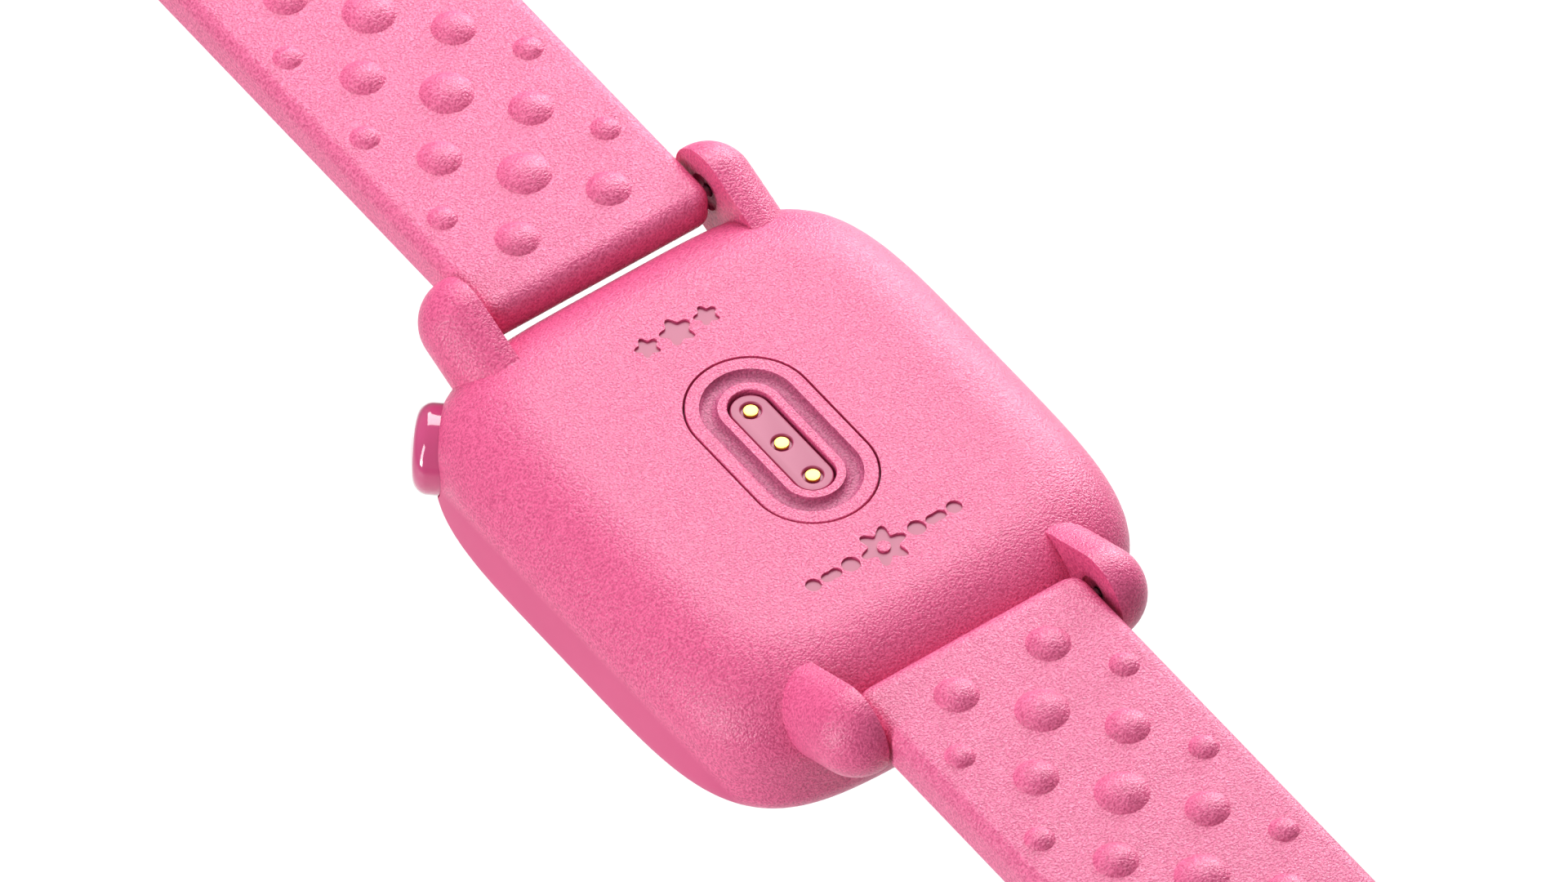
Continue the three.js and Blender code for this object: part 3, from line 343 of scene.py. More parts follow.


# %% [markdown]
# ## Grained pink plastic
# The case is ABS with a soft-touch coat, moulded in a spark-eroded tool. The tool leaves a fine
# leather-like grain, about a third of a millimetre from one bump to the next, so the surface
# breaks highlights into small sparks and never shows a sharp reflection. Its colour is painted
# darker in the pits and lighter on the bumps: painted shade and painted light of the grain.
# ABS has an IOR of about 1.53. The grain stops on the flanks, where the tool was left smooth so
# that the part could be drawn out of it. A mask in millimetres finds that edge. Across it the
# bump fades out, the surface turns to the plain satin of the bare tool, and its colour is painted
# darker, as painted shade on the flanks.

# %% Grained plastic
GRAIN = 0.17  # one cell of the noise, which is half of the way from bump to bump
GRAIN_LOW, GRAIN_HIGH, GRAIN_WARP = 0.3, 0.7, 0.3
MOTTLE, MOTTLE_SHARE = 3.0, 0.15  # a slow change of tone over the grain
# The grain ends where FLANK_X * |x| + FLANK_DEPTH * (depth below the back) is FLANK_LIMIT.
FLANK_X, FLANK_DEPTH, FLANK_LIMIT, FLANK_FADE = 1.2389, 0.6289, 27.8, 0.35
# The first number sets the flanks' colour near the pit tone: painted shade on the flanks; the
# second is their satin roughness.
SMOOTH_SHADE_LEVEL, SMOOTH_ROUGHNESS = 0.2, 0.55
ABS_IOR, TPU_IOR = 1.53, 1.5


def grain_height(tree, mask=None):
    """The grain's height from 0 to 1; where the mask is 0 it is level and low, so the colour there
    is painted darker as shade.
    """
    cells = noise(tree, GRAIN, 1.0, Roughness=0.5, Distortion=GRAIN_WARP)
    height = remap(tree, cells, GRAIN_LOW, GRAIN_HIGH)
    if mask is None:
        return height
    # Where the mask is 0 the level is low, so the colour there is painted darker as shade.
    level = add(tree, "Mix", {"data_type": "FLOAT"}, _0=mask, _2=SMOOTH_SHADE_LEVEL, _3=height)
    return level.outputs[0]


def flank_mask(tree):
    """1 where the tool was grained and 0 low on the flanks, where the grain stops and the colour
    is painted darker as shade, with a soft edge.
    """
    point = add(tree, "TexCoord").outputs["Object"]
    apart = add(tree, "SeparateXYZ", Vector=point)
    wide = compute(tree, "MULTIPLY", compute(tree, "ABSOLUTE", apart.outputs["X"]), FLANK_X)
    deep = compute(tree, "MULTIPLY_ADD", apart.outputs["Z"], -FLANK_DEPTH, FLANK_DEPTH * BACK * MM)
    low, high = (FLANK_LIMIT - FLANK_FADE) * MM, (FLANK_LIMIT + FLANK_FADE) * MM
    return remap(tree, compute(tree, "ADD", wide, deep), low, high, 1.0, 0.0)


def grained(name, lit_peak, shaded_pit, roughness, depth, ior, masked=False):
    """Moulded plastic or rubber: a leather grain whose pits are painted darker and bumps lighter,
    as painted shade and painted light; depth in millimetres.
    """
    material, tree, shader = new_material(name)
    mask = flank_mask(tree) if masked else None
    height = grain_height(tree, mask)
    share = compute(tree, "MULTIPLY_ADD", noise(tree, MOTTLE, 2.0), MOTTLE_SHARE, height)
    # The tone follows the grain's height: painted shade in its pits and painted light on its
    # bumps.
    tint(tree, shader, share, shaded_pit, lit_peak)
    emboss(tree, shader, height, depth)
    fill(shader, Roughness=roughness, IOR=ior)
    if masked:
        fill(shader, Roughness=remap(tree, mask, 0.0, 1.0, SMOOTH_ROUGHNESS, roughness))
    return material


case_look = ("#f06798", "#c03e70", 0.33, 0.036, ABS_IOR)
case_plastic = grained("soft_touch_abs_grained", *case_look, masked=True)
insert_plastic = grained("abs_insert_grained", *case_look)
# The groove's darker mauve is painted shade in the recess.
groove_shade_plastic = grained("abs_groove_painted_shade", "#d2648f", "#a2426a", 0.45, 0.04, ABS_IOR)
strap_rubber = grained("tpu_strap_grained", "#f275a2", "#c24574", 0.33, 0.042, TPU_IOR)
for soft_touch in (case_plastic, insert_plastic, strap_rubber):
    surface = next(n for n in soft_touch.node_tree.nodes if n.type == "BSDF_PRINCIPLED")
    fill(surface, Sheen_Weight=0.12, Sheen_Roughness=0.35, Sheen_Tint=linear("#ff5a94"))
print("grain cell", GRAIN, "mm")

# %% [markdown]
# ## Polished plastic
# The button is clear-coated polycarbonate in a deeper raspberry. It is polished, so it mirrors
# the lights in sharp shapes. The contact plate and the floors of the debossed ornaments are
# smooth mouldings without a coat: they shine too, but softly. Polycarbonate's IOR is about 1.58.
# Polished plastic still has a faint waviness from cooling, which bends the reflections a little.

# %% Polished plastics
TONE_SIZE, WAVE_SIZE = 2.5, 2.0


def polished(name, base, deeper, roughness, ior, coat=0.0, wave=0.01):
    """Smooth moulded plastic with cooling waves and a faint change of tone."""
    material, tree, shader = new_material(name)
    tint(tree, shader, noise(tree, TONE_SIZE, 2.0), base, deeper)
    emboss(tree, shader, noise(tree, WAVE_SIZE, 0.0), wave)
    fill(shader, Roughness=roughness, IOR=ior, Coat_Weight=coat, Coat_Roughness=0.03)
    return material


button_plastic = polished("polycarbonate_raspberry", "#c8457a", "#c03e73", 0.12, 1.58, 1.0)
carrier_plastic = polished("abs_satin_mauve", "#b0426c", "#ad3f69", 0.34, ABS_IOR, 0.0, 0.0)
display_plastic = polished("display_polariser_black", "#08080b", "#0b0b10", 0.2, 1.5)

# %% [markdown]
# ## Metals
# The contacts are brass with a thin gold plate, polished by a barrel tumble. The buckle is
# brushed stainless steel: long fine scratches along its length stretch the highlight. Turned
# bars, nickel plate and the cast frame inside differ only in tone, roughness and scratch size.
# A metal keeps the shader's default IOR, because its colour already says how it reflects.

# %% Metals
SMOOTHEST, ROUGHEST = 0.75, 1.3  # how far the scratches change a metal's roughness


def metal(name, base, roughness, scratch, stretch=(1, 1, 1), depth=0.004):
    """A metal whose scratches are stretched along the axes where stretch is small."""
    material, tree, shader = new_material(name)
    lines = noise(tree, scratch, 3.0, stretch)
    rough = remap(tree, lines, 0.0, 1.0, roughness * SMOOTHEST, roughness * ROUGHEST)
    emboss(tree, shader, lines, depth)
    fill(shader, Base_Color=linear(base), Metallic=1.0, Roughness=rough)
    return material


contact_gold = metal("gold_plate_on_brass", "#ffe766", 0.33, 0.15, depth=0.001)
buckle_steel = metal("stainless_steel_brushed", "#c9cacc", 0.28, 0.08, (0.04, 1, 1))
bar_steel = metal("stainless_steel_turned", "#b5b6b8", 0.25, 0.06, (1, 0.2, 0.2))
nickel = metal("nickel_plate", "#bdb9ae", 0.18, 0.3)
cast_frame = metal("magnesium_die_cast", "#8f9296", 0.5, 0.4, depth=0.02)
cell_foil = metal("pouch_cell_foil", "#c6c8cb", 0.38, 0.6, depth=0.02)

# %% [markdown]
# ## Glass, rubber and the rest
# The cover is glass over a black printed border, so from outside it reads as a dark mirror. It
# is modelled as a dark dielectric with glass's IOR of 1.52 and a very smooth face: nothing
# behind it is lit, and an opaque dark surface stays true in every export. Seals are matt black
# nitrile rubber. The board and its flex are epoxy and polyimide under a satin resin.

# %% Glass, seals and boards
cover_glass = polished("glass_on_black_print", "#050507", "#070709", 0.04, 1.52, 0.0, 0.0)
seal_rubber = grained("nitrile_rubber_black", "#1a1a1c", "#222224", 0.75, 0.01, 1.5)
switch_plastic = grained("glass_filled_nylon_black", "#202022", "#29292b", 0.6, 0.01, 1.53)
board_resin = polished("fr4_green_solder_mask", "#1c5a34", "#174d2c", 0.35, 1.55)
flex_film = polished("polyimide_film_amber", "#b06a1c", "#a46118", 0.3, 1.7)
print("materials:", len(bpy.data.materials))

# %% [markdown]
# ## Handing a piece over
# Each finished piece gets its finish, rides on the body that carries it, and stands for the packed
# nodes that it replaces.

# %% Place a piece
def place(piece, body, material, slot, *nodes):
    """Gives a piece its finish or finishes and its body, and hides its CAD nodes; the slot is not
    used.
    """
    piece.data.materials.clear()
    for each in material if isinstance(material, list) else [material]:
        piece.data.materials.append(each)
    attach(piece, body)
    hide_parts(*nodes)
    return report(piece)


# %% [markdown]
# ## The case outline
# Seen from the back the case is neither a rectangle nor an ellipse but something between, with
# sides that keep a slight belly and corners that never turn into plain arcs. A superellipse does
# this with one number, its power. The points are spread evenly along the curve, because an even
# spread of the angle would crowd them at the corners and leave the sides bare.

# %% Case outline
CORNER_POWER = 4.53
OUTLINE_POINTS = 336


def superellipse(half_x, half_y, turns):
    """Points of the curve, one for each angle."""
    x, y = np.cos(turns), np.sin(turns)
    x, y = (np.sign(each) * np.abs(each) ** (2 / CORNER_POWER) for each in (x, y))
    return np.stack([half_x * x, half_y * y], axis=1)


def even_turns(half_x, half_y, count):
    """Angles that space the superellipse's points evenly along its length."""
    fine = np.linspace(0, 2 * np.pi, 64 * count + 1)
    x, y = superellipse(half_x, half_y, fine).T
    length = np.concatenate([[0], np.cumsum(np.hypot(np.diff(x), np.diff(y)))])
    wanted = (np.arange(count) + 0.5) * length[-1] / count
    return np.interp(wanted, length, fine)


CASE_TURNS = even_turns(CASE_HALF_X, CASE_HALF_Y, OUTLINE_POINTS)


def case_outline(inset):
    """The case's outline, this far inside its widest line."""
    return superellipse(CASE_HALF_X - inset, CASE_HALF_Y - inset, CASE_TURNS)


print("case outline:", OUTLINE_POINTS, "points")

# %% [markdown]
# ## The rear housing
# The back, the side walls and the four lugs are one moulding. The back rolls over into the sides
# along an elliptical shoulder, the sides stand straight, and the front edge turns in again to
# meet the bezel. A box with bevelled edges would give round shoulders of one radius; a loft of
# the outline follows the real, flatter curve, because each level can have its own inset.

# %% Case body
SHOULDER_INSET, SHOULDER_DROP = 6.8, 5.93
FRONT_EDGE = 3.0
HOUSING_BOTTOM = node_box("rear_housing")[0][2]
SIDE_WALL, BACK_WALL = 1.5, 1.6


def front_inset(height):
    """How far the rounded front edge lies inside the case's side."""
    return FRONT_EDGE - math.sqrt(FRONT_EDGE ** 2 - (FRONT_EDGE - height) ** 2)


def shoulder_levels(steps, side=0.0, drop=0.0):
    """Levels of the elliptical shoulder, lowest first."""
    return [(SHOULDER_INSET * (1 - math.sin(turn)) + side,
             BACK - drop - SHOULDER_DROP * (1 - math.cos(turn)))
            for turn in np.linspace(math.pi / 2, 0, steps + 1)]


edge_levels = [(front_inset(h), h) for h in np.linspace(HOUSING_BOTTOM, FRONT_EDGE, 9)]
housing = loft("rear_housing_shell", edge_levels + shoulder_levels(40), case_outline)
report(housing)

# %% [markdown]
# ## The lugs
# Four horns carry the straps. Each leans outwards, has a round end, and is cut flat where the
# strap runs past it. It could be sculpted, but a turned horn, squeezed across, gives the same
# smooth end with clean faces. The horns meet the case in a plain crease, as parts from a split
# tool often do, so they are joined without a fillet. The cavity is then cut out of the whole.

# %% Lugs
LUG_RADIUS, LUG_WIDTH, LUG_ROOT = 3.53, 3.46, 9.0
LUG_CREST = 0.42  # the horn's highest line lies this far outside its flat inner face
LUG_RISE = math.radians(22.4)
FAR = 60  # past everything
SIDES = (-1, 1)
ALONG_X = Matrix.Rotation(math.pi / 2, 4, "Y")  # lays an upright piece along X


def box_tool(low, high):
    """A plain block used only to cut."""
    corners = [(x, y, z) for x in (low[0], high[0]) for y in (low[1], high[1])
               for z in (low[2], high[2])]
    faces = [(0, 1, 3, 2), (4, 6, 7, 5), (0, 4, 5, 1), (2, 3, 7, 6), (0, 2, 6, 4), (1, 5, 7, 3)]
    return make_object("block", corners, faces)


def lug(side_x, side_y):
    """One horn, rising outwards from inside the case."""
    profile = [(0, -LUG_ROOT), (LUG_RADIUS, -LUG_ROOT)]
    profile += arc((0, 0), LUG_RADIUS, 0, 90, 24)[:-1] + [(0, LUG_RADIUS)]
    horn = turned("lug", profile)
    stand = Matrix.Diagonal((LUG_WIDTH / LUG_RADIUS, 1, 1, 1))
    lean = Matrix.Rotation(-math.pi / 2 + LUG_RISE, 4, "X")
    turn = Matrix.Rotation(0 if side_y > 0 else math.pi, 4, "Z")
    crest = side_x * (LUG_FACE + LUG_CREST)
    shift = Matrix.Translation((crest, side_y * PIVOT_Y, PIVOT_Z))
    transform(horn, shift @ turn @ lean @ stand)
    low, high = sorted((0, side_x * LUG_FACE))
    return combine(horn, box_tool((low, -FAR, -FAR), (high, FAR, FAR)))


for side_x in SIDES:
    for side_y in SIDES:
        combine(housing, lug(side_x, side_y), "UNION")
cavity_levels = [(SIDE_WALL, -1)] + shoulder_levels(8, SIDE_WALL, BACK_WALL)
combine(housing, loft("cavity", cavity_levels, case_outline))
report(housing)

# %% [markdown]
# ## The charging port's seat, the lug holes and the button's pocket
# The charging insert sits in a stadium-shaped hole with a seam of a sixth of a millimetre round
# it. A seam that narrow is what makes two parts read as two parts, so it is cut as real depth
# and not painted. The lugs have a shallow round recess and a blind hole for the spring bar's
# pin, and the button slides in a round pocket.

# %% Cut the housing
INSERT_RADIUS, INSERT_HALF_Y = node_box("charging_insert")[1][:2]
CONTACT_PITCH = INSERT_HALF_Y - INSERT_RADIUS
SEAM = 0.17
PAD_RADIUS, PAD_DEPTH = 6.2, 2.4  # the thicker wall round the port
PORT_DEPTH, PORT_BORE = 1.45, 3.8
RECESS_RADIUS, RECESS_DEPTH, PIN_HOLE_RADIUS, PIN_HOLE_DEPTH = 1.5, 0.3, 0.55, 1.6


def stadium(radius, steps=48):
    """Two half circles, one contact pitch each side of the middle."""
    upper = arc((0, CONTACT_PITCH), radius, 0, 180, steps)
    return upper + [(-x, -y) for x, y in upper]


def port_block(name, radius, low, high):
    """A block of the port's outline, between two heights over the back."""
    return loft(name, [(radius, BACK + low), (radius, BACK + high)], stadium)


combine(housing, port_block("port_pad", PAD_RADIUS, -PAD_DEPTH, -BACK_WALL / 2), "UNION")
combine(housing, port_block("port", INSERT_RADIUS + SEAM, -PORT_DEPTH, 1))
combine(housing, port_block("port_bore", PORT_BORE, -4, 0))


def bar_hole(side_x, side_y):
    """The recess and the blind hole in a lug's inner face."""
    profile = [(0, -1), (RECESS_RADIUS, -1), (RECESS_RADIUS, RECESS_DEPTH),
               (PIN_HOLE_RADIUS, RECESS_DEPTH + 0.05), (PIN_HOLE_RADIUS, PIN_HOLE_DEPTH),
               (0, PIN_HOLE_DEPTH + 0.1)]
    turn = Matrix.Rotation(side_x * math.pi / 2, 4, "Y")
    shift = Matrix.Translation((side_x * LUG_FACE, side_y * PIVOT_Y, PIVOT_Z))
    return transform(turned("bar_hole", profile, 48), shift @ turn)


combine(housing, merge("bar_holes", [bar_hole(x, y) for x in SIDES for y in SIDES]))

BUTTON_IN = Vector(joints["button_press"]["axis"])
button_low, button_high = (corner[2] for corner in node_box("button_cap"))
BUTTON_RADIUS, BUTTON_HEIGHT = (button_high - button_low) / 2, (button_high + button_low) / 2


def wall_point(direction):
    """Where the case's wall faces this way."""
    reach = CORNER_POWER / (CORNER_POWER - 1)
    halves = np.array([CASE_HALF_X, CASE_HALF_Y])
    along = np.abs(np.array(direction[:2]) * halves)
    total = (along ** reach).sum() ** (1 / CORNER_POWER)
    return np.sign(direction[:2]) * halves * along ** (reach - 1) / total


def at_button(piece):
    """From an upright piece, with height 0 on the wall, to the button's axis."""
    out = -BUTTON_IN
    across = Vector((0, 0, 1)).cross(out)
    matrix = Matrix((across, out.cross(across), out)).transposed().to_4x4()
    matrix.translation = Vector((*wall_point(out), BUTTON_HEIGHT))
    return transform(piece, matrix)


POCKET_FLOOR, POCKET_GAP, STEM_HOLE = -1.6, 0.12, 1.25
BOSS_RADIUS, BOSS_TOP, BOSS_END = BUTTON_RADIUS + 0.62, -1.35, -2.8
combine(housing, at_button(drum("pocket_boss", BOSS_RADIUS, BOSS_END, BOSS_TOP)), "UNION")
pocket_radius = BUTTON_RADIUS + POCKET_GAP
pocket = [(0, -6), (STEM_HOLE, -6), (STEM_HOLE, POCKET_FLOOR), (pocket_radius, POCKET_FLOOR),
          (pocket_radius, 3), (0, 3)]
combine(housing, at_button(turned("pocket", pocket)))
report(housing)

# %% [markdown]
# ## Ornaments
# Two small decorations are pressed 0.2 mm into the back: three stars in a row near the buckle
# end, and a flower between dots near the other end. Their floors are smooth, so they shine
# against the grain. They are cut with closed prisms of the same outline, and the floor faces
# are found afterwards by their height and given the smooth finish.

# %% Cut the ornaments
ORNAMENT_DEPTH = 0.2


def prism(outline):
    """A cutter that reaches from the ornament's floor to above the back."""
    return loft("prism", [(0, BACK - ORNAMENT_DEPTH), (0, BACK + 0.5)], lambda _: outline)


def petals(x, y, radius, count, depth, turn=0.0, points=120):
    """A flower or a soft star: a circle whose radius swings in and out."""
    angles = np.linspace(0, 2 * np.pi, points, endpoint=False)
    swing = radius * (1 - depth + depth * np.cos(count * (angles - turn)))
    return np.stack([x + swing * np.cos(angles), y + swing * np.sin(angles)], axis=1)


STAR_ROW_Y, STARS = 12.66, ((-2.6, 1.0), (0, 1.35), (2.6, 1.0))  # place and size of each
STAR_POINTS, STAR_SWING = 5, 0.17
FLOWER_ROW_Y, FLOWER_RADIUS, PETALS, PETAL_SWING = -12.3, 1.9, 6, 0.2
EYE_RADIUS, EYE_ROOT = 0.5, 0.3
DOTS = ((2.9, 0.7, 0.0), (4.6, 0.85, 0.25), (6.2, 0.6, 0.0))  # place, size and swing

cutters = [prism(petals(x, STAR_ROW_Y, radius, STAR_POINTS, STAR_SWING, math.pi / 2))
           for x, radius in STARS]
cutters.append(prism(petals(0, FLOWER_ROW_Y, FLOWER_RADIUS, PETALS, PETAL_SWING)))
for side in SIDES:
    for x, radius, swing in DOTS:
        cutters.append(prism(petals(side * x, FLOWER_ROW_Y, radius, 2, swing)))
combine(housing, merge("ornaments", cutters))
eye = loft("eye", [(0, BACK - ORNAMENT_DEPTH - EYE_ROOT), (0, BACK)],
           lambda _: petals(0, FLOWER_ROW_Y, EYE_RADIUS, PETALS, 0))
combine(housing, eye, "UNION")
shade(housing)
place(housing, "case", [case_plastic, carrier_plastic], "case_plastic", "rear_housing")
floor_count = 0
for face in housing.data.polygons:
    if face.normal.z > 0.99 and abs(face.center.z / MM - (BACK - ORNAMENT_DEPTH)) < 0.01:
        face.material_index = 1
        floor_count += 1
print("ornament floor faces:", floor_count)

# %% [markdown]
# ## The charging insert
# A second moulding sits in the back, flush with it. Round it runs a groove that the charger's
# ridge drops into, and a slot in its middle holds the contact plate. All its edges follow one
# stadium outline, so the whole insert is a single loft that goes out, up, in, down into the
# groove and down again into the slot. The edges are eased by a few hundredths of a millimetre,
# which catches the light as a fine line.

# %% Charging insert
GROOVE_MIDDLE, GROOVE_HALF, GROOVE_DEPTH = 3.03, 0.655, 0.55
GROOVE_SQUARE = 0.9  # under 1, the groove's section is a little fuller than a half round
SLOT_RADIUS, SLOT_FLOOR = 1.7, BACK - 1.4
SPIGOT_RADIUS, SPIGOT_END, FLANGE_UNDER = 3.7, BACK - 2.3, BACK - 1.2
EASE = 0.05

insert_levels = [(SPIGOT_RADIUS, SPIGOT_END), (SPIGOT_RADIUS, FLANGE_UNDER),
                 (INSERT_RADIUS, FLANGE_UNDER),
                 (INSERT_RADIUS, BACK - EASE), (INSERT_RADIUS - EASE, BACK)]
for turn in np.linspace(0, math.pi, 25):
    insert_levels.append((GROOVE_MIDDLE + GROOVE_HALF * math.cos(turn),
                          BACK - GROOVE_DEPTH * math.sin(turn) ** GROOVE_SQUARE))
insert_levels += [(SLOT_RADIUS + EASE, BACK), (SLOT_RADIUS, BACK - EASE),
                  (SLOT_RADIUS, SLOT_FLOOR)]
insert = shade(loft("charging_insert_moulding", insert_levels, stadium))
place(insert, "case", [insert_plastic, groove_shade_plastic], "case_plastic", "charging_insert")
# Faces in the groove take the darker material: painted shade in the groove.
for face in insert.data.polygons:
    x, y, z = face.center / MM
    away = math.hypot(x, max(abs(y) - CONTACT_PITCH, 0))
    if abs(away - GROOVE_MIDDLE) < GROOVE_HALF and z > BACK - GROOVE_DEPTH - 0.1:
        face.material_index = 1

# %% [markdown]
# ## The contact plate
# The plate lies three tenths of a millimetre below the back. Each contact sits in a well with a
# soft rim, as a moulding tool leaves it. A bevel on the well's edge would do it too, but a
# turned cutter whose mouth flares out makes the well and its rim in one cut.

# %% Contact plate
PLATE_RADIUS, PLATE_TOP, PLATE_EDGE, PLATE_LIFT = 1.5, BACK - 0.3, 0.12, 0.05
WELL_RADIUS, WELL_DEPTH, WELL_RIM = 0.76, 0.28, 0.13

plate_levels = [(PLATE_RADIUS, SLOT_FLOOR + PLATE_LIFT), (PLATE_RADIUS, PLATE_TOP - PLATE_EDGE)]
plate_levels += arc((PLATE_RADIUS - PLATE_EDGE, PLATE_TOP - PLATE_EDGE), PLATE_EDGE,
                    math.degrees(0.2), 90, 5)
plate = loft("contact_plate", plate_levels, stadium)
mouth, well_floor = WELL_RADIUS + WELL_RIM, PLATE_TOP - WELL_DEPTH
profile = [(0, well_floor), (WELL_RADIUS, well_floor)]
profile += arc((mouth, PLATE_TOP - WELL_RIM), WELL_RIM, 180, 90, 6)
profile += [(mouth, PLATE_TOP + 0.3), (0, PLATE_TOP + 0.3)]
wells = [transform(turned("well", profile, 64), Matrix.Translation((0, i * CONTACT_PITCH, 0)))
         for i in (-1, 0, 1)]
combine(plate, merge("wells", wells))
place(shade(plate), "case", carrier_plastic, "carrier_plastic", "contact_carrier")

# %% [markdown]
# ## The contacts
# The charger's spring pins press on three gold-plated brass pins. They are turned on a lathe, so
# they are turned here too: a flat head with a small rounded edge, a little above the well's
# floor, on a thinner shank that goes through the plate.

# %% Contacts
PIN_EDGE, PIN_RISE, PIN_CROWN = 0.05, 0.06, 0.008
SHANK_RADIUS, HEAD_THICK = 0.32, 0.2

for i in (1, 2, 3):
    node = f"charging_contact_{i}"
    low, high = node_box(node)
    radius, head = (high[0] - low[0]) / 2, high[2] + PIN_RISE
    profile = [(0, low[2]), (SHANK_RADIUS, low[2]), (SHANK_RADIUS, head - HEAD_THICK),
               (radius, head - HEAD_THICK)]
    profile += arc((radius - PIN_EDGE, head - PIN_EDGE), PIN_EDGE, 0, 80, 4)
    profile += [(0.2, head + 0.005), (0, head + PIN_CROWN)]
    pin = turned(f"contact_pin_{i}", profile, 64)
    transform(pin, Matrix.Translation((0, (low[1] + high[1]) / 2, 0)))
    place(shade(pin), "case", contact_gold, "contact_gold", node)

# %% [markdown]
# ## The front: bezel and glass
# The case's other half is a ring that carries the cover glass. It is hardly seen from the back,
# but it closes the rounded front edge. It is a ring loft: its outside carries on the housing's
# front edge, and its inside steps to a ledge for the glass. The glass is a plate whose rim is
# rounded off in six short steps of a curve, as ground cover glass is.

# %% Bezel and glass
LENS_INSET, LENS_THICKNESS, GLASS_EDGE = 3.4, 0.9, 0.35
BEZEL_TOP, LENS_PROUD, LENS_GAP, LIP_BREAK = HOUSING_BOTTOM - 0.05, 0.1, 0.1, 0.08
STEP_INSET, STEP_TOP, STEP_INNER = 1.65, 3.0, 2.5  # the step that enters the housing
LEDGE, LEDGE_WIDTH, LEDGE_TOP = 1.1, 1.2, 1.6
ROOM_GAP, ROOM_TOP, ROOM_END = 0.2, -1.55, -8

lip = LENS_INSET - LENS_GAP
bezel_section = [(lip, LENS_PROUD + LIP_BREAK), (lip - LIP_BREAK, LENS_PROUD)]
bezel_section += [(front_inset(h), h) for h in np.linspace(LENS_PROUD, BEZEL_TOP, 10)[1:]]
bezel_section += [(STEP_INSET, BEZEL_TOP), (STEP_INSET, STEP_TOP), (STEP_INNER, STEP_TOP),
                  (STEP_INNER, LEDGE_TOP), (LENS_INSET + LEDGE_WIDTH, LEDGE_TOP),
                  (LENS_INSET + LEDGE_WIDTH, LEDGE), (lip, LEDGE)]
bezel = loft("front_bezel_ring", bezel_section, case_outline, closed=True)
combine(bezel, at_button(drum("button_room", BOSS_RADIUS + ROOM_GAP, ROOM_END, ROOM_TOP)))
place(shade(bezel), "case", case_plastic, "case_plastic", "front_bezel")

lens_levels = arc((LENS_INSET + GLASS_EDGE, GLASS_EDGE), GLASS_EDGE, 270, 180, 6)
lens = loft("cover_glass_plate", lens_levels + [(LENS_INSET, LENS_THICKNESS)], case_outline)
place(shade(lens, 40), "case", cover_glass, "cover_glass", "cover_lens")

# %% [markdown]
# ## The button
# The button is a turned cap with a rounded edge and a slightly crowned face, on a stem that
# passes through a seal to a switch inside. A flat face would mirror one light or none. The
# crown gathers small bright images of several, as a polished cap does.

# %% Button cap
BUTTON_PROUD, BUTTON_CROWN, BUTTON_EDGE = 1.45, 0.3, 1.2
FACE_RADIUS = BUTTON_RADIUS - BUTTON_EDGE
STEM_END, STEM_RADIUS, STEM_EASE = -3.8, 1.1, 0.2
CLIP_RADIUS, CLIP_LOW, CLIP_HIGH = 0.75, -3.25, -2.85  # the groove for the clip
CAP_UNDER, CAP_EASE = -0.9, 0.1

cap_profile = [(0, STEM_END), (STEM_RADIUS - STEM_EASE, STEM_END),
               (STEM_RADIUS, STEM_END + STEM_EASE), (STEM_RADIUS, CLIP_LOW),
               (CLIP_RADIUS, CLIP_LOW), (CLIP_RADIUS, CLIP_HIGH), (STEM_RADIUS, CLIP_HIGH),
               (STEM_RADIUS, CAP_UNDER), (BUTTON_RADIUS - CAP_EASE, CAP_UNDER),
               (BUTTON_RADIUS, CAP_UNDER + CAP_EASE)]
cap_profile += arc((FACE_RADIUS, BUTTON_PROUD - BUTTON_EDGE), BUTTON_EDGE, 0, 84, 14)
crown_radius = (FACE_RADIUS ** 2 + BUTTON_CROWN ** 2) / (2 * BUTTON_CROWN)
for radius in np.linspace(FACE_RADIUS, 0, 9):
    sag = crown_radius - math.sqrt(crown_radius ** 2 - radius ** 2)
    cap_profile.append((radius, BUTTON_PROUD + BUTTON_CROWN - sag))
cap = at_button(turned("button_cap_turned", cap_profile, 128))
place(shade(cap, 35), "button", button_plastic, "button_plastic", "button_cap")

# %% [markdown]
# ## A sweep for the straps
# A strap is a long bar with one rounded section. A curve with a bevel could carry it, but then
# the section can't get thinner and narrower by different amounts at its ends. So the sweep is
# built here from stations: each has its own centre, half width and half thickness.

# %% Sweep helper
def rounded_section(half_wide, half_thick, top, bottom, steps=6):
    """A rectangle with rounded corners, anticlockwise from the upper right."""
    limit = min(half_wide, half_thick) * 0.98  # so that two corners never meet
    top, bottom = min(top, limit), min(bottom, limit)
    points = []
    for turn, side, up, ease in ((0, 1, 1, top), (90, -1, 1, top), (180, -1, -1, bottom),
                                 (270, 1, -1, bottom)):
        centre = (side * (half_wide - ease), up * (half_thick - ease))
        points += arc(centre, ease, turn, turn + 90, steps)
    return points


def swept(name, stations, top, bottom):
    """A closed bar from stations (centre, across, half width, half thickness)."""
    rings = [[np.array(centre) + u * np.array(across) + np.array((0, 0, w))
              for u, w in rounded_section(half_wide, half_thick, top, bottom)]
             for centre, across, half_wide, half_thick in stations]
    return skin(name, rings, flip=True)


# %% [markdown]
# ## The strap bars
# Each strap half is one long bar of thermoplastic polyurethane, injection moulded. At the
# spring bar its end is rounded in thickness and its corners are eased in plan, and at the tip it
# runs out along an ellipse. The stations lie close together where the shape changes fast.

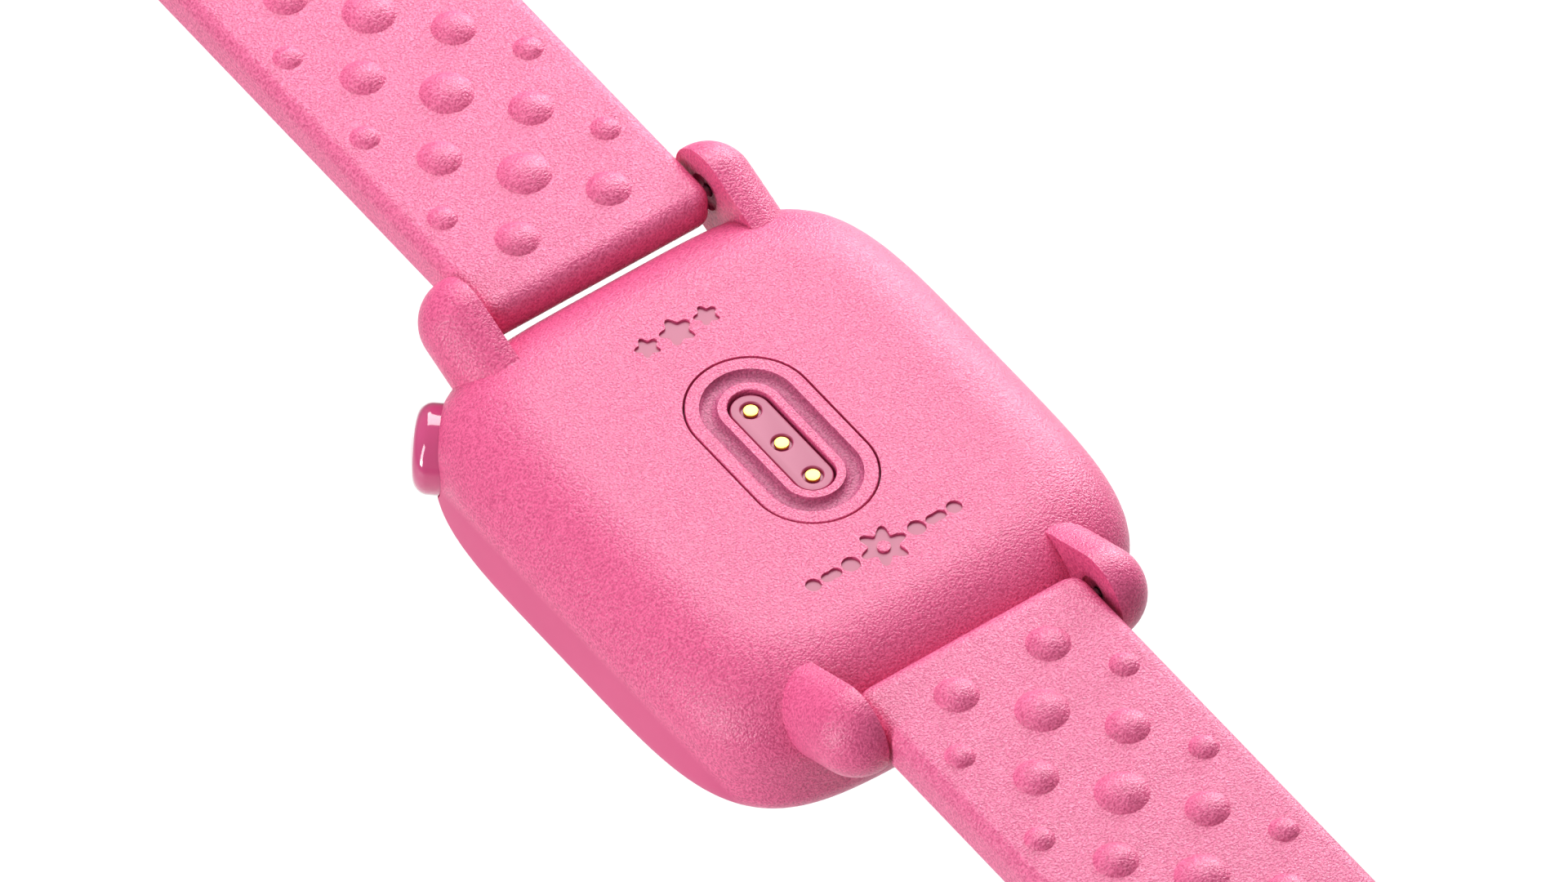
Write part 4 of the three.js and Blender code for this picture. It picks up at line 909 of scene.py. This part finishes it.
# %% Strap bodies
STRAP_CORNER, STRAP_UNDER = 1.1, 0.8
END_EASE = 1.6
END_POWER = 2.8  # 2 would be a half round; a moulded end is squarer
TIP_THIN = 0.45  # how much of its thickness the tip loses
BORE_RADIUS = 0.9


def round_end(turn):
    """Distance past the axis, half width and half thickness on the strap's rounded end."""
    bend = 2 / END_POWER
    past, thick = HALF_THICK * math.sin(turn) ** bend, HALF_THICK * math.cos(turn) ** bend
    return past, STRAP_HALF - END_EASE * (1 - math.cos(turn)), thick


def strap_blank(name, length, tip):
    """The bar, from its spring bar at 0 to its end; a tip is elliptical, an end is round."""
    ends = [round_end(turn) for turn in np.radians(np.linspace(0, 89, 19))]
    rows = [(-past, wide, thick) for past, wide, thick in reversed(ends)]
    rows += [(y, STRAP_HALF, HALF_THICK) for y in np.linspace(4, length - 12, 16)]
    if tip:
        shoulder = length + 1 - tip
        for turn in np.radians(np.linspace(0, 86, 24)):
            wide = STRAP_HALF * math.cos(turn)
            thick = HALF_THICK * (1 - TIP_THIN + TIP_THIN * math.sqrt(math.cos(turn)))
            rows.append((shoulder + tip * math.sin(turn), wide, thick))
    else:
        rows += [(length + past, wide, thick) for past, wide, thick in ends]
    stations = [((0, y, 0), (1, 0, 0), wide, thick) for y, wide, thick in rows]
    return swept(name, stations, STRAP_CORNER, STRAP_UNDER)


def across_bore(y, half=30):
    """A bore along X for a bar."""
    bore = drum("bore", BORE_RADIUS, -half, half, 48)
    return transform(bore, Matrix.Translation((0, y, 0)) @ ALONG_X)


# %% [markdown]
# ## Domes and holes
# The domes come in three sizes and repeat every two rows: a pair of middle ones, then a large
# one between two small ones. The buckle's holes are punched through and their rims are rounded
# by the tool, so the cutter that makes them flares at both ends.

# %% Domes and holes
ROW_PITCH, FIRST_ROW, ROWS = 4.738, 3.0, 8
LARGE, MEDIUM, SMALL = (2.0, 0.8), (1.65, 0.7), (1.13, 0.5)  # radius and height
DOME_SINK = 0.4
OUTER_X, PAIR_X = 7.22, 4.03
HOLE_RADIUS, HOLE_PITCH, FIRST_HOLE, HOLES = 1.3, 6.5, 43.5, 8


def dome(size, x, y):
    """A cap of a sphere, sunk a little into the strap."""
    rim, height = size
    radius = (rim ** 2 + height ** 2) / (2 * height)
    spread = math.degrees(math.asin(rim / radius))
    cap = arc((0, height - radius), radius, 90 - spread, 90, 9)
    profile = [(0, -DOME_SINK), (rim, -DOME_SINK)] + cap[:-1] + [(0, height)]
    return transform(turned("dome", profile, 48), Matrix.Translation((x, y, HALF_THICK)))


def add_domes(strap):
    """Joins all the domes of one strap half to it."""
    domes = []
    for row in range(ROWS):
        y = FIRST_ROW + row * ROW_PITCH
        if row % 2:
            domes += [dome(SMALL, -OUTER_X, y), dome(LARGE, 0, y), dome(SMALL, OUTER_X, y)]
        else:
            domes += [dome(MEDIUM, -PAIR_X, y), dome(MEDIUM, PAIR_X, y)]
    return combine(strap, merge("domes", domes), "UNION")


def flared_hole(y):
    """A cutter for a hole with rounded rims."""
    ease, top = 0.3, HALF_THICK
    mouth = HOLE_RADIUS + ease
    profile = [(0, -top - 1), (mouth, -top - 1)]
    profile += arc((mouth, ease - top), ease, 270, 180, 4)
    profile += arc((mouth, top - ease), ease, 180, 90, 4)
    profile += [(mouth, top + 1), (0, top + 1)]
    return transform(turned("hole", profile, 48), Matrix.Translation((0, y, 0)))


# %% [markdown]
# ## The two strap halves
# The upper half carries the buckle, so it has a bore at each end and a notch for the tongue. The
# lower half has the row of holes. Both are made lying along Y at the origin, where lengths are
# easy to read, and then moved to their spring bars.

# %% Make the straps
BUCKLE_LENGTH = BUCKLE_Y - PIVOT_Y
HOLE_LENGTH = -node_box("lower_strap")[0][1] - PIVOT_Y
TONGUE_HALF = node_box("buckle_tongue")[1][0]
NOTCH_GAP, NOTCH_DEPTH, TIP_LENGTH = 0.6, 3.2, 10

upper = add_domes(strap_blank("upper_strap_moulded", BUCKLE_LENGTH, 0))
notch_half = TONGUE_HALF + NOTCH_GAP
notch = box_tool((-notch_half, BUCKLE_LENGTH - NOTCH_DEPTH, -5),
                 (notch_half, BUCKLE_LENGTH + 5, 5))
combine(upper, merge("cuts", [across_bore(0), across_bore(BUCKLE_LENGTH)]))
combine(upper, notch)
transform(shade(upper), Matrix.Translation((0, PIVOT_Y, PIVOT_Z)))
place(upper, "upper_strap", strap_rubber, "strap_rubber", "upper_strap")

lower = add_domes(strap_blank("lower_strap_moulded", HOLE_LENGTH - 1, TIP_LENGTH))
holes = [flared_hole(FIRST_HOLE + i * HOLE_PITCH) for i in range(HOLES)]
combine(lower, merge("holes", holes + [across_bore(0)]))
half_turn = Matrix.Rotation(math.pi, 4, "Z")
transform(shade(lower), Matrix.Translation((0, -PIVOT_Y, PIVOT_Z)) @ half_turn)
place(lower, "lower_strap", strap_rubber, "strap_rubber", "lower_strap")

# %% [markdown]
# ## Keepers
# Two loops of the same rubber hold the strap's tail. One is fixed to the strap and one slides.
# Each is a ring loft with a rounded section, turned on its side so that the strap runs through.

# %% Keepers
KEEPER_WALL, KEEPER_EASE, KEEPER_CORNER = 1.3, 0.4, 0.7


def keeper(name, node, body, clearance):
    """A loop where its CAD node lies, this far from the strap's sides."""
    low, high = node_box(node)
    wide, middle = (high[1] - low[1]) / 2, (high + low) / 2
    hole_x = STRAP_HALF + clearance
    hole_z = (high[2] - low[2]) / 2 - KEEPER_WALL

    def outline(offset):
        corner = KEEPER_CORNER + offset
        return rounded_section(hole_x + offset, hole_z + offset, corner, corner, 8)

    half_wall = KEEPER_WALL / 2
    section = [(x + half_wall, z)
               for x, z in rounded_section(half_wall, wide, KEEPER_EASE, KEEPER_EASE, 5)]
    loop = loft(name, section, outline, closed=True)
    transform(loop, Matrix.Translation(middle) @ Matrix.Rotation(math.pi / 2, 4, "X"))
    return place(shade(loop), body, strap_rubber, "strap_rubber", node)


keeper("fixed_keeper_loop", "fixed_keeper", "upper_strap", clearance=0.1)
keeper("sliding_keeper_loop", "sliding_keeper", "keeper", clearance=0.3)

# %% [markdown]
# ## Buckle
# The buckle is a frame of stainless steel, cast, ground and brushed along its length. Its centre
# line runs up one arm, round two corners and down the other, and one rounded section is swept
# along it. The arms are thicker where the bar goes through them.

# %% Buckle frame
ARM, FRONT_BAR, REACH, CORNER = 1.8, 2.2, 11.5, 3.2
HALF_STEEL, TAIL, STEEL_ROUND = 1.2, HALF_THICK, 0.45
TAPER, BAR_REACH = 0.45, 11.5  # the share of an arm that tapers, and half the bar's hole
BUCKLE_HALF = node_box("buckle_frame")[1][0]
BUCKLE_PLACE = Matrix.Translation((0, BUCKLE_Y, PIVOT_Z))


def frame_stations():
    """One arm from its tail to the middle of the front bar."""
    arm_x = BUCKLE_HALF - ARM / 2
    stations = []
    for turn in np.radians(np.linspace(88, 0, 12)):
        thick = TAIL * math.cos(turn)
        stations.append(((arm_x, -TAIL * math.sin(turn), 0), (1, 0, 0), ARM / 2, thick))
    for share in np.linspace(0, 1, 7)[1:]:
        thick = TAIL + (HALF_STEEL - TAIL) * (3 - 2 * share) * share ** 2
        stations.append(((arm_x, share * REACH * TAPER, 0), (1, 0, 0), ARM / 2, thick))
    for turn in np.radians(np.linspace(0, 90, 13)):
        grow = math.degrees(turn) / 90
        half = (ARM + (FRONT_BAR - ARM) * grow) / 2
        along = CORNER - half
        x, y = math.cos(turn), math.sin(turn)
        centre = (BUCKLE_HALF - CORNER + along * x, REACH - CORNER + along * y, 0)
        stations.append((centre, (x, y, 0), half, HALF_STEEL))
    return stations


right_half = frame_stations()
left_half = [((-c[0], c[1], 0), (-a[0], a[1], 0), w, t) for c, a, w, t in reversed(right_half)]
buckle = swept("buckle_frame_brushed", right_half + left_half, STEEL_ROUND, STEEL_ROUND)
combine(buckle, across_bore(0, BAR_REACH))
transform(shade(buckle), BUCKLE_PLACE)
place(buckle, "buckle", buckle_steel, "buckle_steel", "buckle_frame")

# %% [markdown]
# ## The tongue
# The tongue is a strip with an eye round the bar, and its tip rests on the frame. It is cut from
# plate and its edges are broken by tumbling, so it is made as an outline in side view, pushed
# out sideways, with a small bevel on its edges.

# %% Tongue
def pushed_out(name, outline, half, ease):
    """An outline in Y and Z, pushed out along X, with its edges broken."""
    count = len(outline)
    vertices = [(side * half, y, z) for side in (-1, 1) for y, z in outline]
    faces = [tuple(reversed(range(count))), tuple(range(count, 2 * count))]
    faces += [(i, (i + 1) % count, count + (i + 1) % count, count + i) for i in range(count)]
    piece = make_object(name, vertices, faces)
    bevel = piece.modifiers.new("ease", "BEVEL")
    bevel.width, bevel.segments, bevel.angle_limit = ease * MM, 3, math.radians(50)
    return bake_modifiers(piece)


TONGUE_LOOP, TONGUE_THICK, TONGUE_BREAK = 1.5, 1.0, 0.18
REST_GAP, TIP_PROUD, TIP_FLAT = 0.1, 0.6, 1.5
rest_height, tip_radius = -HALF_STEEL - REST_GAP, TONGUE_THICK / 2
tongue_outline = arc((0, 0), TONGUE_LOOP, 60, 270, 24)
tongue_outline += arc((REACH + TIP_PROUD - tip_radius, rest_height - tip_radius), tip_radius,
                      270, 450, 10)
tongue_outline += [(REACH - FRONT_BAR - TIP_FLAT, rest_height)]
tongue = pushed_out("tongue_strip", tongue_outline, TONGUE_HALF, TONGUE_BREAK)
combine(tongue, across_bore(0))
transform(shade(tongue), BUCKLE_PLACE)
place(tongue, "tongue", buckle_steel, "buckle_steel", "buckle_tongue")

# %% [markdown]
# ## Spring bars and the buckle's bar
# A spring bar is a tube with a sprung pin in each end, and the pins snap into the lugs. They are
# turned steel, so each is a turned profile with broken ends, placed and sized from the packed
# part that it stands for.

# %% Bars
def bar_between(name, node, body, ease=0.12):
    """A turned bar with broken ends, where its CAD node lies."""
    low, high = node_box(node)
    radius, half = (high[2] - low[2]) / 2, (high[0] - low[0]) / 2
    profile = [(0, -half), (radius - ease, -half), (radius, ease - half)]
    profile += [(radius, half - ease), (radius - ease, half), (0, half)]
    bar = turned(name, profile, 32)
    transform(bar, Matrix.Translation((low + high) / 2) @ ALONG_X)
    return place(shade(bar), body, bar_steel, "bar_steel", node)


for end in ("upper", "lower"):
    for side in ("left", "right"):
        bar_between(f"pin_{end}_{side}", f"spring_bar_pin_{end}_{side}", "case")
    bar_between(f"bar_{end}", f"spring_bar_tube_{end}", "case")
bar_between("buckle_bar_turned", "buckle_bar", "buckle")

# %% [markdown]
# ## What stays as it was packed
# The works inside the case are hidden behind walls, so they keep their imported shapes. Each still
# gets a real finish, for when the case is taken apart.

# %% Finish the imported nodes
keeps = {
    "insert_gasket": seal_rubber, "lens_gasket": seal_rubber, "button_seal": seal_rubber,
    "charger_magnet": nickel, "contact_flex": flex_film, "display_panel": display_plastic,
    "inner_frame": cast_frame, "frame_screw": bar_steel, "main_board": board_resin,
    "shield_can": nickel, "battery_cell": cell_foil, "vibration_motor": nickel,
    "tactile_switch": switch_plastic, "button_clip": bar_steel,
}
stays = {name: node for name, node in frame["nodes"].items() if not node.hide_render}
for name, node in stays.items():
    finish = next(value for key, value in keeps.items() if name.startswith(key))
    node.data.materials.clear()
    node.data.materials.append(finish)
print("nodes that stay:", len(stays))

# %% [markdown]
# ## The paper
# The watch floats above pale paper, low enough that the straps can swing down without touching
# it. A round sheet is used, far wider than the view, so that no edge of it ever shows.

# %% Floor
FLOOR, PAPER_RADIUS, PAPER_THICK = -150.0, 6000, 2
PAPER_GRAIN, PAPER_GRAIN_DEPTH = 2.0, 0.02
paper = loft("paper", [(0, FLOOR - PAPER_THICK), (0, FLOOR)],
             lambda _: petals(0, 0, PAPER_RADIUS, 1, 0, points=64))
paper_material, tree, shader = new_material("white_paper")
emboss(tree, shader, noise(tree, PAPER_GRAIN, 3.0), PAPER_GRAIN_DEPTH)
fill(shader, Base_Color=linear("#cacaca"), Roughness=0.9, IOR=1.5)
paper.data.materials.append(paper_material)
paper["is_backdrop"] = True
print("paper", -FLOOR, "mm below the glass")

# %% [markdown]
# ## The lights
# Soft boxes make the look. The key stands where the flat back mirrors it, which gives the whole
# back its pale, even sheen. A tall, narrow box on the left draws the light bands on the lugs and
# the near flank, a small one reaches the corner, and one on the right whitens the far shoulder.
# A spot aimed past the watch keeps the paper behind it white. The world is a weak even white,
# which fills the shadows without flattening them.

# %% Lights
def staged(name, data, place, rotation):
    """A light or a camera in its place, in metres, which is not a part of the watch."""
    thing = in_scene(name, data)
    thing.location = place
    thing.rotation_euler = rotation.to_euler()
    thing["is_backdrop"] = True
    return thing


def softbox(name, towards, distance, size, power, tall=None):
    """A rectangular area light that looks at the watch; distances are in metres."""
    data = bpy.data.lights.new(name, "AREA")
    data.shape, data.size, data.size_y = "RECTANGLE", size, tall or size
    data.energy = power
    direction = Vector(towards).normalized()
    return staged(name, data, direction * distance, direction.to_track_quat("Z", "Y"))


softbox("key", (0.385, 0.526, 0.758), 0.45, 0.34, 2.12)
softbox("left", (-0.93, -0.02, 0.36), 0.5, 0.12, 1.18, 0.44)
softbox("corner", (-0.99, -0.08, 0.06), 0.45, 0.1, 0.6)
softbox("right", (0.82, 0.48, 0.2), 0.45, 0.24, 1.4)

SPOT_PLACE, SPOT_AIM = Vector((0.5, 0.6, 0.3)), Vector((0.1, 0.14, FLOOR * MM))
paper_light = bpy.data.lights.new("paper_light", "SPOT")
paper_light.energy, paper_light.spot_size, paper_light.spot_blend = 18.0, math.radians(26), 0.6
paper_light.shadow_soft_size = 0.05
staged("paper_light", paper_light, SPOT_PLACE, (SPOT_PLACE - SPOT_AIM).to_track_quat("Z", "Y"))

world = bpy.data.worlds.new("white_studio")
bpy.context.scene.world = world
world.use_nodes = True
fill(world.node_tree.nodes["Background"], Color=linear("#ffffff"), Strength=0.35)
bpy.context.scene.view_settings.view_transform = "Standard"
print("lights:", len(bpy.data.lights))

# %% [markdown]
# ## The camera
# A product picture like this is taken from far away with a long lens, so parallel edges stay
# nearly parallel. The camera looks down at about fifty degrees from the front left, and its
# distance follows from the lens and from the width that the frame takes in.

# %% Camera
VIEW_TURN, VIEW_RISE = math.radians(-36.18), math.radians(49.3)
FRAME_WIDTH, LENS, SENSOR = 111.63, 900.0, 36.0
AIM_RIGHT, AIM_DOWN = 0.163, 0.087  # from the middle of the back

back = Vector((math.sin(VIEW_TURN) * math.cos(VIEW_RISE),
               -math.cos(VIEW_TURN) * math.cos(VIEW_RISE), math.sin(VIEW_RISE)))
rotation = (-back).to_track_quat("-Z", "Y")
right, up = rotation @ Vector((1, 0, 0)), rotation @ Vector((0, 1, 0))
target = Vector((0, 0, BACK)) + AIM_RIGHT * right - AIM_DOWN * up
camera_data = bpy.data.cameras.new("camera")
camera_data.lens, camera_data.sensor_width, camera_data.clip_end = LENS, SENSOR, 20
distance = FRAME_WIDTH * LENS / SENSOR
camera = staged("camera", camera_data, (target + back * distance) * MM, rotation)
bpy.context.scene.camera = camera
print("camera at", [round(value, 3) for value in camera.location], "m")

# %% [markdown]
# ## Measuring and finishing
# The model is measured again, and both boxes, the imported one and the visible one, are printed.

# %% Sizes, and the end
visual_box = [list(corner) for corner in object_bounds()]
for label, box in (("CAD", cad_box), ("visual", visual_box)):
    print(label, [[round(value / MM, 2) for value in corner] for corner in box])
